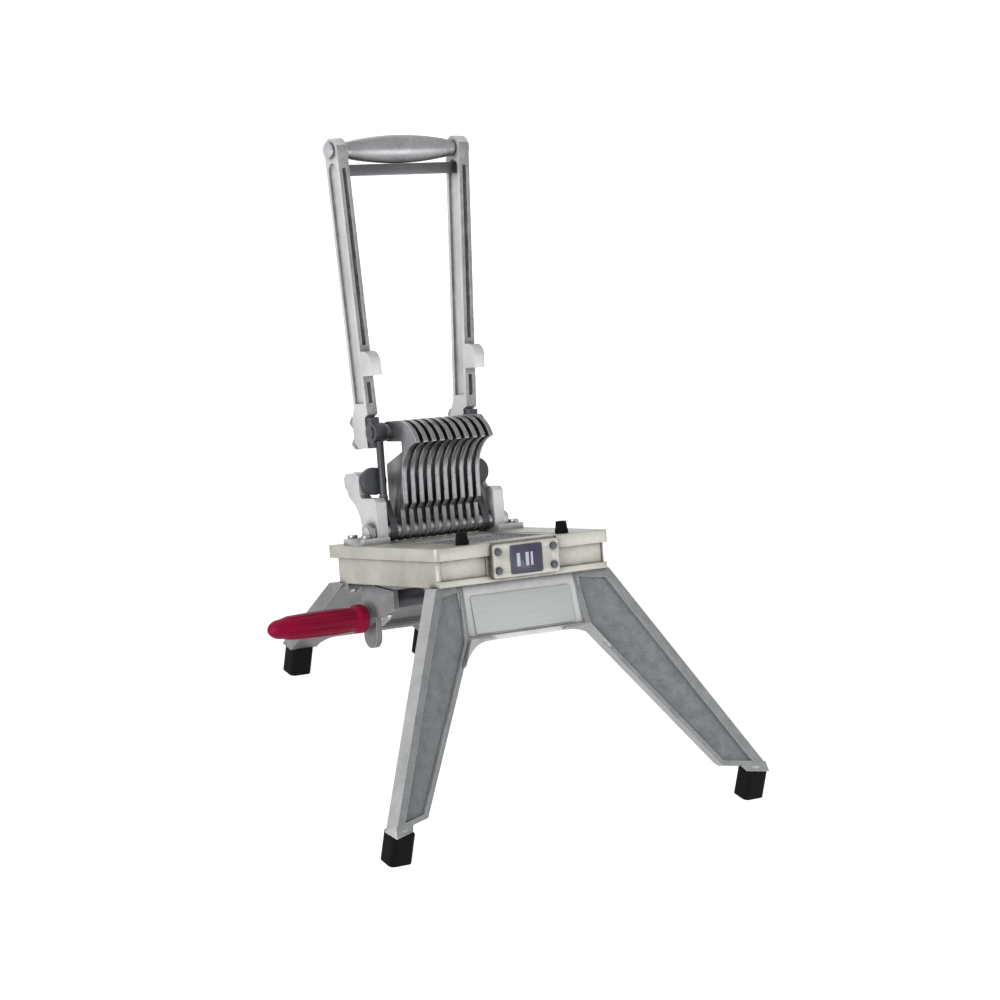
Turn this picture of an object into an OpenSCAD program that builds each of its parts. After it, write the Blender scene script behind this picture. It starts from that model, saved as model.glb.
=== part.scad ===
// Lever onion cutter: a tilted cast deck on four legs carries a cartridge of parallel
// blades. A two-armed lever swings a comb of fins down between the blades.
// Frame: origin at the bottom centre of the whole object, X across, +Y to the rear, +Z up.
// Deck frame: x across, u from the front edge to the rear, v square to the deck's top.
// Lever frame: the deck frame moved to the pivot, with the lever standing at rest.

/* [Deck] */
// Width of the deck
deck_w = 200; // [184:1:230]
// Depth of the deck from its front edge to its rear edge
deck_d = 195; // [190:1:210]
// Height of the flange band round the top of the deck
band_h = 12; // [8:0.5:14]
// Height of the skirt under the band
skirt_h = 25; // [22:0.5:34]
// How far the band stands proud of the skirt
band_proud = 3; // [1:0.5:5]
// How far the band stands behind the skirt at the rear
band_rear = 11; // [3:0.5:14]
// Wall of the deck casting
deck_wall = 6; // [4:0.5:8]
// Corner radius of the deck in plan
deck_corner_r = 5; // [2:0.5:8]
// Backward tilt of the deck in degrees
deck_tilt = 20; // [12:1:25]
// Height of the deck's front edge above the table
front_h = 232; // [215:1:260]
// Depth of the sunk panels in the deck's front face
panel_sink = 1.5; // [0.5:0.5:3]
// Height of the rail along the foot of the deck's front face
front_rail_h = 6; // [3:0.5:8]

/* [Blade cartridge] */
// Pitch of the blades and of the fins
pitch = 9.525; // [8.5:0.005:10]
// Number of fins, one fewer than the blades
fin_count = 10; // [8:2:10]
// Place of the front of the blades' free length
blade_u0 = 32; // [30:1:36]
// Place of the rear of the blades' free length
blade_u1 = 131; // [126:1:132]
// Thickness of a blade
blade_t = 0.6; // [0.4:0.1:1]
// Height of a blade
blade_h = 7; // [6:0.5:8]
// Depth of the blade edges below the deck's top
blade_sink = 1.5; // [1:0.5:3]
// How far the blades reach into the rails
blade_hold = 5; // [4:0.5:5.5]
// Width of the front and rear rails
rail_w = 6; // [6:0.5:8]
// Height of the rails
rail_h = 14; // [13:0.5:17]
// Width of the cartridge's side rails
side_rail_w = 6; // [5:0.5:6]
// Width of the ledge that carries the cartridge
ledge_w = 5; // [3:0.5:5]
// Thickness of the ledge
ledge_t = 5; // [3:0.5:8]
// Radius of the rods that lock the blades
rod_r = 1.5; // [1:0.25:2]

/* [Front block] */
// Width of the housing block on the deck's front
block_w = 76; // [60:1:84]
// How far the block stands in front of the skirt
block_proud = 6; // [5:0.5:8]
// Width of the index plate
index_w = 36; // [28:1:44]
// Height of the index plate
index_h = 27; // [20:1:29]
// Thickness of the index plate
index_t = 1; // [0.5:0.25:2]

/* [Front legs] */
// Forward slant of the front frame from upright, in degrees
front_slant = 39.5; // [36:0.5:42]
// Half distance between the middles of the front feet
front_foot_x = 203; // [180:1:215]
// Width of a foot and of the leg's neck above it
foot_w = 24; // [20:0.5:28]
// Thickness of the leg castings
leg_t = 14; // [12:0.5:18]
// Height of the arch under the apron above the table
arch_h = 146; // [138:1:150]
// Half width of the arch at its top
arch_half_w = 68; // [60:1:74]
// Forward slant of the apron from upright, in degrees
apron_slant = 31; // [24:1:34]
// Thickness of the apron
apron_t = 8; // [6:0.5:10]
// Set back of the apron behind the deck's front skirt
apron_back = 13; // [10:0.5:15]
// Height of the lip along the apron's lower edge
lip_h = 4; // [3:0.5:8]
// How far the lip stands out from the apron
lip_proud = 4; // [2:0.5:6]
// Height above the table of the flat lower edges of the front legs
leg_base_z = 34; // [31:0.5:38]
// Where that edge begins, from the middle
leg_in_x = 169; // [160:1:176]
// Where that edge ends, from the middle
leg_out_x = 213; // [208:1:224]
// Width of the rim on the outer edge of a front leg
rim_outer = 9; // [6:0.5:12]
// Width of the raised rim on the castings
rim_w = 4.5; // [3.5:0.5:6]
// Depth of the sunk panels on the castings
rim_h = 3; // [1.5:0.5:4]
// Width of the bare plate on the apron
plate_w = 114; // [90:1:118]
// Height of the bare plate on the apron
plate_h = 36; // [30:1:42]
// Thickness of the bare plate
plate_t = 1; // [0.5:0.25:2]

/* [Rear legs] */
// Backward slant of the rear frame from upright, in degrees
rear_slant = 39.5; // [34:0.5:42]
// Half distance between the middles of the rear feet
rear_foot_x = 78; // [74:1:84]
// Width of a rear leg
rear_leg_w = 30; // [26:1:34]
// Height of the arch between the rear legs above the table
rear_arch_h = 48; // [40:1:60]

/* [Feet] */
// Height of a rubber foot
foot_h = 29; // [24:0.5:34]
// Size of a rubber foot from front to rear
foot_d = 21; // [18:0.5:24]
// Corner radius of a rubber foot
foot_corner_r = 5; // [3:0.5:8]
// Radius of the peg inside a foot
peg_r = 7; // [5:0.5:8]
// Thickness of rubber under the peg
foot_sole = 8; // [5:0.5:12]

/* [Posts and pivot] */
// Place of the pivot behind the deck's front edge
pivot_u = 150; // [149:0.5:152]
// Height of the pivot above the deck
pivot_v = 10.5; // [10:0.25:12]
// Radius of the pivot shaft
shaft_r = 6.5; // [5:0.5:7]
// Place of the posts' inner faces
post_x = 63; // [60:0.5:64]
// Thickness of a post
post_t = 12; // [10:0.5:14]
// Depth of a post in front of the pivot
post_front = 11; // [9:0.5:12]
// Depth of a post at its base
post_d = 26; // [22:1:30]
// Height of the crook that holds the rubber stop
crook_v = 44; // [42:0.5:44.5]
// Height of the stop bolt above the deck
stop_v = 60; // [59.5:0.5:64]
// Place of the rear end of the post's horn
horn_u = 195; // [190:0.5:200]
// Radius of the boss round the stop bolt
horn_r = 9.5; // [8:0.5:11]
// Radius of the rubber stop
stop_r = 13.5; // [11:0.5:13.5]
// Length of the rubber stop
stop_l = 8; // [6:0.5:10]
// Half distance between the middles of the stops
stop_x = 60.5; // [60:0.5:62]

/* [Lever] */
// Swing of the lever from rest to the bumpers, in degrees
swing = 93.5; // [91:0.5:94]
// Distance from the pivot up to the top shaft
top_dv = 97; // [94:0.5:100]
// Offset of the top shaft and the stems behind the pivot
top_du = 6; // [6:0.25:7]
// Radius of the top shaft
top_r = 5.5; // [4.5:0.25:6]
// Radius of the hubs round the top shaft
hub_r = 9.5; // [8:0.25:9.5]
// Length of a hub along the shaft
hub_l = 14; // [12:0.5:16]
// Thickness of a side bar's eye
bar_t = 7; // [6:0.25:7.5]
// Radius of the stem of a side bar
stem_r = 3.75; // [3:0.25:4]
// Length of an arm from the top shaft to the grip
arm_l = 277; // [250:1:290]
// Depth of an arm from its front face to its rear face
arm_d = 24; // [20:0.5:28]
// Width of an arm
arm_t = 12; // [10:0.5:14]
// Place of an arm's front face behind the pivot
arm_du = 10; // [9:0.5:12]
// Half distance between the arms' middles at the grip
grip_x = 71; // [66:0.5:76]
// Height of the lugs' flat underside above the pivot
lug_dv = 153; // [153:0.5:158]
// Reach of a lug in front of the arm
lug_reach = 17; // [14:0.5:20]
// Height of a lug
lug_h = 24; // [20:0.5:28]
// Radius of the grip in its middle
grip_mid_r = 14; // [12:0.5:16]
// Radius of the grip at its ends
grip_end_r = 8.5; // [7:0.5:9.5]
// Height of the rail under the grip
cross_h = 11; // [8:0.5:12]
// Thickness of the rail under the grip
cross_t = 8; // [6:0.5:12]

/* [Fins] */
// Thickness of a fin
fin_t = 5; // [4:0.25:5.5]
// Radius of a fin's eye round the pivot
fin_eye_r = 10; // [9:0.25:10]
// Place of the pressing edge in front of the pivot
fin_front = 17; // [16:0.5:18]
// Place of a fin's rear edge behind the pivot
fin_rear = 12; // [10:0.5:12]
// Radius of the hollow that presses on the food
press_r = 34; // [32:0.5:35]
// Height of the hollow's middle above the pivot
press_dv = 52; // [50:0.5:54]
// Radius of the fin's outer head
head_r = 33.5; // [33:0.1:34]
// Place of the neck's rear edge behind the pivot
neck_du = -18; // [-20:0.5:-16]
// Height of the neck's lower end above the pivot
neck_dv = 77; // [75:0.5:79]
// Radius of a fin's eye round the top shaft
head_eye_r = 10; // [9:0.25:10]

/* [Side grip] */
// Distance of the side grip in front of the deck's rear edge
side_grip_back = 55; // [50:1:62]
// Depth of the side grip below the deck's top
side_grip_v = 70; // [66:1:76]
// Length of the side grip
side_grip_l = 106; // [90:1:112]
// Radius of the side grip at its root
side_grip_r = 14; // [12:0.5:16]
// Radius of the side grip near its tip
side_grip_tip_r = 9.5; // [8:0.5:12]
// Thickness of the side bracket
bracket_t = 6; // [4:0.5:8]
// Radius of the side grip's stud
stud_r = 5; // [4:0.5:6]

/* [Bumpers and fasteners] */
// Place of the deck bumpers behind the front edge
bumper_u = 18; // [16:0.5:18]
// Radius of a deck bumper
bumper_r = 6.5; // [5:0.5:7]
// Radius of the larger bolts
bolt_r = 4; // [3:0.25:4.5]
// Radius of the smaller screws
screw_r = 2.5; // [2:0.25:3]
// Running clearance round a turning shaft
run_gap = 0.05; // [0.02:0.01:0.08]
// Gap left in front of a rubber part at rest
soft_gap = 0.3; // [0.3:0.05:0.4]

/* [Hidden] */
$fn = 48;
eps = 0.01;
cut = 1;

// Deck
deck_h = band_h + skirt_h;
skirt_x = deck_w/2 - band_proud;
skirt_u0 = band_proud;
skirt_u1 = deck_d - band_rear;
top_t = 6;
boss_r = 8;
boss_x = skirt_x - deck_wall - boss_r + 3;
boss_front_u = skirt_u0 + deck_wall + boss_r - 2;
boss_rear_u = skirt_u1 - deck_wall - boss_r + 2;

// Cartridge, worked out from the comb of fins
comb_half = (fin_count - 1)/2*pitch + fin_t/2;
rail_x = (fin_count + 1)/2*pitch - 1.9;
cart_x = rail_x + side_rail_w;
cart_u0 = blade_u0 - rail_w;
cart_u1 = blade_u1 + rail_w + 2;
cart_top = -0.5;
rear_rail_top = -2;
seat_gap = 0.2;
cart_floor = cart_top - rail_h;
ledge_floor = cart_floor - seat_gap - ledge_t;
collar_wall = 6;
rod_v = -blade_sink - blade_h/2 - 0.5;
slot_t = blade_t + 0.2;

// Pivot stack, from the fins out to the nuts
bar_x0 = rail_x;
nut_h = 6;
nut_r = 10;
shaft_end_x = post_x + post_t + nut_h + 0.5;

// Leg frames
front_top_y = skirt_u0*cos(deck_tilt) - deck_h*sin(deck_tilt);
front_top_z = front_h - skirt_u0*sin(deck_tilt) - deck_h*cos(deck_tilt);
rear_top_y = skirt_u1*cos(deck_tilt) - deck_h*sin(deck_tilt);
rear_top_z = front_h - skirt_u1*sin(deck_tilt) - deck_h*cos(deck_tilt);
leg_end_z = foot_h + 0.3;
apron_top_y = front_top_y + apron_back;
apron_l = (front_top_z - arch_h)/cos(apron_slant);
arch_y = apron_top_y - (front_top_z - arch_h)*tan(apron_slant) - lip_proud;
front_foot_y = front_top_y - (front_top_z - foot_h)*tan(front_slant);
rear_foot_y = rear_top_y + (rear_top_z - foot_h)*tan(rear_slant);
leg_a = [deck_w/2, front_top_y, front_top_z];
leg_b = [arch_half_w, arch_y, arch_h];
leg_c = [front_foot_x, front_foot_y - leg_t/2/cos(front_slant), foot_h];
rear_leg_l = (rear_top_z - foot_h)/cos(rear_slant) + leg_t*tan(rear_slant);
rear_arch_w = (rear_top_z - rear_arch_h)/cos(rear_slant);
flange_t = 6;
flange_reach = 13;

// Lever
splay = atan((grip_x - bar_x0 - hub_l/2)/arm_l);
arm_x = bar_x0 + hub_l/2;
arm_mid = arm_du + arm_d/2;
grip_dv = top_dv + arm_l*cos(splay);
foot_half = 15;
pad_du = top_du + hub_r + 0.5;
arm_foot_du = pad_du + arm_d;
bolt_dz = 10.5;
grip_half = grip_x - arm_t/2 - 1.2;
grip_rod_r = 4;
side_grip_u = deck_d - side_grip_back;
head_cap = 5;
pocket_t = 3.2;
cross_drop = grip_mid_r + soft_gap + cross_h/2;

// The bumpers meet the lowered arms' front faces
arm_drop_dv = (pivot_u + arm_du*cos(swing) - bumper_u + bumper_r)/sin(swing);
bumper_h = pivot_v + arm_du*sin(swing) + arm_drop_dv*cos(swing) - soft_gap;

// Posts and the rubber stops behind the stems
base_t = 6;
base_reach = 19;
horn_h = horn_r - 1;
stop_u0 = pivot_u + top_du + stem_r + soft_gap;
stop_u1 = stop_u0 + stop_l;

// The box of the whole object, from front feet to grip or rear feet
grip_y = (pivot_u + arm_mid)*cos(deck_tilt) + (pivot_v + grip_dv)*sin(deck_tilt);
box_front = front_foot_y - foot_d/2;
box_rear = max(rear_foot_y + foot_d/2, grip_y + max(grip_mid_r, arm_d/2));
deck_y = -(box_front + box_rear)/2;

// Places

module on_deck() translate([0, deck_y, front_h]) rotate([-deck_tilt, 0, 0]) children();

module on_pivot() on_deck() translate([0, pivot_u, pivot_v]) children();

// Extrudes a profile drawn in the u and v plane across, from x0 to x0 + t
module across(x0, t) translate([x0, 0, 0]) rotate([90, 0, 90]) linear_extrude(t) children();

// A cylinder across, from x0 to x0 + l, round the point (u, v)
module across_rod(x0, l, u, v, r) translate([x0, u, v]) rotate([0, 90, 0]) cylinder(h = l, r = r);

// A cylinder along u
module along_rod(x, u0, l, v, r) translate([x, u0, v]) rotate([-90, 0, 0]) cylinder(h = l, r = r);

// A hexagon nut or head across
module across_hex(x0, l, u, v, r) translate([x0, u, v]) rotate([0, 90, 0]) cylinder(h = l, r = r, $fn = 6);

module both_sides() {
    children();
    mirror([1, 0, 0]) children();
}

// A rectangle with round corners, made of true arcs
module round_rect(w, d, r) {
    square([w - 2*r, d], center = true);
    square([w, d - 2*r], center = true);
    for (sx = [-1, 1], sy = [-1, 1])
        translate([sx*(w/2 - r), sy*(d/2 - r)]) circle(r);
}

// Points on an arc round c, from angle a0 to angle a1
function arc(c, r, a0, a1, n) = [for (k = [0 : n]) c + r*[cos(a0 + k*(a1 - a0)/n), sin(a0 + k*(a1 - a0)/n)]];

// Moves each edge of a convex outline inwards, by d or by its own distance in the list d;
// the points run anticlockwise and edge i starts at point i
function unit(v) = v/norm(v);
function inward(a, b) = let (e = unit(b - a)) [-e[1], e[0]];
function meet(p, a, q, b) =
    let (cross_ab = a[0]*b[1] - a[1]*b[0], k = ((q[0] - p[0])*b[1] - (q[1] - p[1])*b[0])/cross_ab)
    p + a*k;
function inset(pts, d) = [for (i = [0 : len(pts) - 1])
    let (n = len(pts), j = (i + n - 1)%n, p = pts[j], q = pts[i], r = pts[(i + 1)%n],
        d0 = is_list(d) ? d[j] : d, d1 = is_list(d) ? d[i] : d)
    meet(p + inward(p, q)*d0, q - p, q + inward(q, r)*d1, r - q)];

// Deck casting

module plan(half, u0, u1, r) translate([0, (u0 + u1)/2]) round_rect(2*half, u1 - u0, r);

module hollow_plan()
    plan(skirt_x - deck_wall, skirt_u0 + deck_wall, skirt_u1 - deck_wall, deck_corner_r/2);

module deck_bosses(r, v0, v1)
    both_sides()
        for (u = [boss_front_u, boss_rear_u])
            translate([boss_x, u, v0]) cylinder(h = v1 - v0, r = r);

module deck_frame() {
    panel_x0 = block_w/2 + 4;
    panel_x1 = skirt_x - 4;
    color("gainsboro") on_deck() difference() {
        union() {
            translate([0, 0, -band_h]) linear_extrude(band_h)
                plan(deck_w/2, 0, deck_d, deck_corner_r);
            difference() {
                translate([0, 0, -deck_h]) linear_extrude(skirt_h + eps)
                    plan(skirt_x, skirt_u0, skirt_u1, deck_corner_r);
                translate([0, 0, -deck_h - cut]) linear_extrude(deck_h + cut - top_t)
                    hollow_plan();
            }
            translate([-skirt_x, band_proud/2, -deck_h]) cube([2*skirt_x, deck_wall, front_rail_h]);
            deck_bosses(boss_r, -deck_h, -top_t + eps);
            translate([-cart_x - collar_wall, cart_u0 - collar_wall, ledge_floor])
                cube([2*(cart_x + collar_wall), cart_u1 - cart_u0 + 2*collar_wall, -ledge_floor - eps]);
        }
        difference() {
            translate([0, 0, -band_h - cut]) linear_extrude(band_h + cut - top_t)
                hollow_plan();
            deck_bosses(boss_r, -deck_h, 0);
            translate([-cart_x - collar_wall, cart_u0 - collar_wall, ledge_floor])
                cube([2*(cart_x + collar_wall), cart_u1 - cart_u0 + 2*collar_wall, -ledge_floor]);
        }
        translate([-cart_x - seat_gap, cart_u0 - seat_gap, cart_floor - seat_gap])
            cube([2*(cart_x + seat_gap), cart_u1 - cart_u0 + 2*seat_gap, rail_h + 10]);
        translate([-cart_x + ledge_w, cart_u0 + ledge_w, ledge_floor - cut])
            cube([2*(cart_x - ledge_w), cart_u1 - cart_u0 - 2*ledge_w, ledge_t + 2*cut + seat_gap]);
        for (sx = [-1, 1])
            translate([min(sx*panel_x0, sx*panel_x1), skirt_u0 - cut, -deck_h + front_rail_h])
                cube([panel_x1 - panel_x0, cut + panel_sink, skirt_h - front_rail_h]);
        translate([-block_w/2 - seat_gap, -cut, -deck_h + front_rail_h/2 - seat_gap])
            cube([block_w + 2*seat_gap, skirt_u0 + cut, deck_h]);
        deck_bosses(screw_r, -deck_h - cut, -top_t - 4);
        both_sides() for (u = post_screw_us())
            translate([post_screw_x, u, -top_t - cut]) cylinder(h = top_t + 2*cut, r = screw_r);
    }
}

// Front frame: a slanted apron between two splayed legs

// The apron's own frame: y down its face and z out of it
module on_apron() translate([0, deck_y + apron_top_y, front_top_z])
    rotate([90 - apron_slant, 0, 0]) mirror([0, 1, 0]) children();

// The right leg's own frame: its front face is the plane through the deck's corner, the arch's
// corner and the foot, with x level and z out of the face
leg_n = unit(cross(leg_b - leg_a, leg_c - leg_a));
leg_ex = unit(cross([0, 0, 1], leg_n));
leg_ey = cross(leg_n, leg_ex);
module on_leg() translate([0, deck_y, 0])
    multmatrix([for (k = [0 : 2]) [leg_ex[k], leg_ey[k], leg_n[k], leg_a[k]]]) children();

// The point of the leg's plane at x from the middle and z above the table, in the leg's frame
function leg_pt(x, z) =
    let (t = (z - leg_a[2])/leg_ey[2]) [(x - leg_a[0] - t*leg_ey[0])/leg_ex[0], t];

function leg_outline() = let (over = 2, k = (leg_out_x - deck_w/2)/(front_top_z - leg_base_z)) [
    leg_pt(arch_half_w - 6, front_top_z + over), leg_pt(arch_half_w, arch_h),
    leg_pt(leg_in_x, leg_base_z), leg_pt(leg_out_x, leg_base_z),
    leg_pt(deck_w/2 - over*k, front_top_z + over)];

function leg_neck() = [
    leg_pt(front_foot_x - foot_w/2 - 3, leg_base_z + 4), leg_pt(front_foot_x - foot_w/2 + 1, leg_end_z - cut),
    leg_pt(front_foot_x + foot_w/2 - 1, leg_end_z - cut), leg_pt(front_foot_x + foot_w/2 - 3, leg_base_z + 4)];

module leg_panel() {
    skin = 4;
    top_rim = 12;
    rims = [rim_w, rim_w, rim_w, rim_outer, top_rim];
    translate([0, 0, -leg_t]) difference() {
        linear_extrude(leg_t) {
            polygon(leg_outline());
            polygon(leg_neck());
        }
        translate([0, 0, leg_t - rim_h]) linear_extrude(rim_h + cut) polygon(inset(leg_outline(), rims));
        translate([0, 0, -cut]) linear_extrude(leg_t - rim_h - skin + cut)
            polygon(inset(leg_outline(), rims));
    }
}

module apron() {
    over = 2;
    function face_y(z) = apron_top_y - (front_top_z - z)*tan(apron_slant);
    th = apron_t/cos(apron_slant);
    top = front_top_z + over;
    half = arch_half_w + over;
    translate([0, deck_y, 0]) across(-half, 2*half)
        polygon([[face_y(arch_h) - lip_proud, arch_h], [face_y(arch_h) + th, arch_h],
            [face_y(top) + th, top], [face_y(top), top], [face_y(arch_h + lip_h), arch_h + lip_h],
            [face_y(arch_h + lip_h) - lip_proud, arch_h + lip_h]]);
}

module front_flange() on_deck() {
    pad_x0 = boss_x - boss_r - 4;
    u1 = boss_front_u + boss_r;
    translate([-skirt_x + 2, u1 - 2, -deck_h - flange_t]) cube([2*skirt_x - 4, flange_t, flange_t]);
    both_sides() translate([pad_x0, u1 - flange_reach, -deck_h - flange_t])
        cube([skirt_x - 2 - pad_x0, flange_reach, flange_t]);
}

module front_leg_frame() color("silver") difference() {
    union() {
        difference() {
            union() {
                both_sides() on_leg() leg_panel();
                apron();
            }
            translate([-deck_w*2, deck_y - deck_w*2, leg_end_z - deck_w])
                cube([deck_w*4, deck_w*4, deck_w]);
            on_deck() translate([-deck_w, -deck_w, -deck_h]) cube([2*deck_w, 2*deck_w, deck_w]);
        }
        front_flange();
        both_sides() translate([front_foot_x, deck_y + front_foot_y, foot_sole + 0.2])
            cylinder(h = leg_end_z - foot_sole + 4, r = peg_r);
    }
    on_deck() both_sides() translate([boss_x, boss_front_u, -deck_h - flange_t]) {
        translate([0, 0, -cut]) cylinder(h = flange_t + 2*cut, r = screw_r + 0.1);
        translate([0, 0, -6]) cylinder(h = 6, r = 2*screw_r + 0.6);
    }
}

module name_plate() color("whitesmoke") on_apron()
    translate([0, apron_l - lip_h/cos(apron_slant) - 1.2 - plate_h/2, 0])
        linear_extrude(plate_t) round_rect(plate_w, plate_h, 2);

// Rear frame: a low arch with two short legs, slanted the other way

module on_rear_frame()
    translate([0, deck_y + rear_top_y, rear_top_z])
        rotate([90 + rear_slant, 0, 0]) mirror([0, 1, 0]) mirror([0, 0, 1])
            translate([0, 0, -leg_t/2]) children();

function rear_leg() = [
    [rear_foot_x - rear_leg_w/2, -leg_t], [deck_w/2, -leg_t],
    [rear_foot_x + rear_leg_w/2, rear_leg_l], [rear_foot_x - rear_leg_w/2, rear_leg_l]];

module rear_outline() difference() {
    union() {
        translate([-rear_foot_x, -leg_t]) square([2*rear_foot_x, rear_leg_l + leg_t]);
        both_sides() polygon(rear_leg());
    }
    hull() both_sides() {
        translate([rear_foot_x - rear_leg_w/2 - 14, rear_arch_w + 14]) circle(14, $fn = 32);
        translate([rear_foot_x - rear_leg_w/2 - 1, rear_leg_l + 30]) circle(1, $fn = 32);
    }
}

module rear_leg_frame() {
    skin = 4;
    web = inset([[-rear_foot_x, 0], [rear_foot_x, 0],
        [rear_foot_x, rear_arch_w], [-rear_foot_x, rear_arch_w]], rim_w);
    color("silver") difference() {
        union() {
            difference() {
                on_rear_frame() linear_extrude(leg_t) rear_outline();
                on_rear_frame() translate([0, 0, leg_t - rim_h]) linear_extrude(rim_h + cut) polygon(web);
                on_rear_frame() translate([0, 0, -cut])
                    linear_extrude(leg_t - rim_h - skin + cut) polygon(web);
                translate([-deck_w*2, deck_y - deck_w*2, leg_end_z - deck_w])
                    cube([deck_w*4, deck_w*4, deck_w]);
                on_deck() translate([-deck_w, -deck_w, -deck_h]) cube([2*deck_w, 3*deck_w, deck_w]);
            }
            on_deck() translate([-skirt_x, boss_rear_u - boss_r + 2, -deck_h - flange_t])
                cube([2*skirt_x, skirt_u1 - boss_rear_u + boss_r - 2, flange_t]);
            both_sides() translate([rear_foot_x, deck_y + rear_foot_y, foot_sole + 0.2])
                cylinder(h = leg_end_z - foot_sole + 4, r = peg_r);
        }
        on_deck() both_sides() translate([boss_x, boss_rear_u, -deck_h - flange_t - cut])
            cylinder(h = flange_t + 2*cut, r = screw_r + 0.1);
    }
}

// Rubber feet

module foot(x, y) color([0.08, 0.08, 0.09]) translate([x, deck_y + y, 0]) difference() {
    linear_extrude(foot_h) round_rect(foot_w, foot_d, foot_corner_r);
    translate([0, 0, foot_sole]) cylinder(h = foot_h, r = peg_r + 0.1);
}

// Posts that carry the pivot and the stops

post_screw_x = shaft_end_x + 2*screw_r + 0.5;
function post_screw_us() = [pivot_u - 8, pivot_u + 17];

module post_profile() {
    u0 = pivot_u - post_front;
    difference() {
        polygon([[u0, 0], [u0 + post_d, 0], [u0 + post_d + 4, 10], [horn_u - 4, stop_v - horn_h],
            [horn_u, stop_v - horn_h + 4], [horn_u, stop_v + horn_h - 4],
            [horn_u - 4, stop_v + horn_h], [stop_u1 + 4, stop_v + horn_h], [stop_u1, stop_v + 5],
            [stop_u1, crook_v + 3], [stop_u1 - 3, crook_v], [u0 + 4, crook_v], [u0, crook_v - 4]]);
        translate([u0 + post_d + 36, 14]) circle(33);
    }
}

module post() color("lightgray") on_deck() difference() {
    union() {
        across(post_x, post_t) post_profile();
        along_rod(stop_x, stop_u1, horn_u - stop_u1, stop_v, horn_r);
        translate([post_x + 1, pivot_u - post_front - 4, 0])
            cube([post_t + base_reach - 1, post_d + 12, base_t]);
    }
    along_rod(stop_x, stop_u1 - cut, horn_u - stop_u1 + 2*cut, stop_v, bolt_r + run_gap);
    for (u = post_screw_us())
        translate([post_screw_x, u, -cut]) cylinder(h = base_t + 2*cut, r = screw_r + 0.1);
    across_rod(post_x - cut, post_t + 2*cut, pivot_u, pivot_v, shaft_r + run_gap);
    across_rod(post_x + post_t, base_reach + cut, pivot_u, pivot_v, nut_r + 1);
}

module pivot_shaft() color("darkgray") on_deck()
    across_rod(-shaft_end_x, 2*shaft_end_x, pivot_u, pivot_v, shaft_r);

module pivot_nuts() color("dimgray") on_deck() both_sides() difference() {
    across_hex(post_x + post_t, nut_h, pivot_u, pivot_v, nut_r);
    across_rod(post_x + post_t - cut, nut_h + 2*cut, pivot_u, pivot_v, shaft_r + run_gap);
}

module stop_bumper() color([0.2, 0.18, 0.22]) on_deck() difference() {
    along_rod(stop_x, stop_u0, stop_l, stop_v, stop_r);
    along_rod(stop_x, stop_u0 + 4, stop_l, stop_v, bolt_r + run_gap);
}

module stop_bolts() color("gray") on_deck() both_sides() {
    along_rod(stop_x, stop_u0 + 4.2, horn_u - stop_u0 - 4.2 + eps, stop_v, bolt_r);
    translate([stop_x, horn_u, stop_v]) rotate([-90, 0, 0]) cylinder(h = nut_h, r = nut_r - 2, $fn = 6);
}

// Blade cartridge

function blade_x(i) = (i - fin_count/2)*pitch;

module blade_slots(u0, u1) for (i = [0 : fin_count])
    translate([blade_x(i) - slot_t/2, u0, -blade_sink - blade_h - 0.2])
        cube([slot_t, u1 - u0, blade_h + 20]);

module cartridge_end(u0, u1, top, slot_u0, slot_u1, rod_u) color("silver") on_deck() difference() {
    translate([-rail_x, u0, cart_floor]) cube([2*rail_x, u1 - u0, top - cart_floor]);
    blade_slots(slot_u0, slot_u1);
    across_rod(-rail_x - cut, 2*(rail_x + cut), rod_u, rod_v, rod_r + run_gap);
}

front_rod_u = blade_u0 - blade_hold/2;
rear_rod_u = blade_u1 + blade_hold/2;

module cartridge_front_rail()
    cartridge_end(cart_u0, blade_u0, cart_top, blade_u0 - blade_hold - 0.2, blade_u0 + cut, front_rod_u);

module cartridge_rear_rail()
    cartridge_end(blade_u1, cart_u1, rear_rail_top, blade_u1 - cut, blade_u1 + blade_hold + 0.2, rear_rod_u);

module cartridge_side() color("silver") on_deck() difference() {
    translate([rail_x, cart_u0, cart_floor]) cube([side_rail_w, cart_u1 - cart_u0, rail_h]);
    for (u = [front_rod_u, rear_rod_u])
        across_rod(rail_x - cut, side_rail_w/2 + cut, u, rod_v, rod_r + run_gap);
}

module blade(i) {
    scallops = 16;
    l = blade_u1 - blade_u0;
    step = l/scallops;
    color("whitesmoke") on_deck() difference() {
        across(blade_x(i) - blade_t/2, blade_t) difference() {
            translate([blade_u0 - blade_hold, -blade_sink - blade_h]) square([l + 2*blade_hold, blade_h]);
            for (k = [0 : scallops - 1])
                translate([blade_u0 + (k + 0.5)*step, -blade_sink + step*0.32]) circle(step*0.56);
            translate([blade_u1, -2*blade_sink]) square([blade_hold + cut, 2*blade_sink + cut]);
        }
        for (u = [front_rod_u, rear_rod_u])
            across_rod(blade_x(i) - cut, 2*cut, u, rod_v, rod_r + run_gap);
    }
}

module blade_rods() color("dimgray") on_deck()
    for (u = [front_rod_u, rear_rod_u])
        across_rod(-rail_x - side_rail_w/2 + 0.2, 2*rail_x + side_rail_w - 0.4, u, rod_v, rod_r);

// Block with the index plate on the deck's front

block_v0 = -deck_h + front_rail_h/2;
block_v1 = -2;
block_screw_x = block_w/2 - 6;

module front_block() color("gainsboro") on_deck() difference() {
    translate([0, skirt_u0, (block_v0 + block_v1)/2]) rotate([90, 0, 0]) linear_extrude(block_proud)
        round_rect(block_w, block_v1 - block_v0, 3);
    for (sx = [-1, 1], v = block_screw_vs())
        along_rod(sx*block_screw_x, -block_proud, block_proud + 10, v, screw_r);
}

function block_screw_vs() = [block_v1 - 7, block_v0 + 7];

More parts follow.
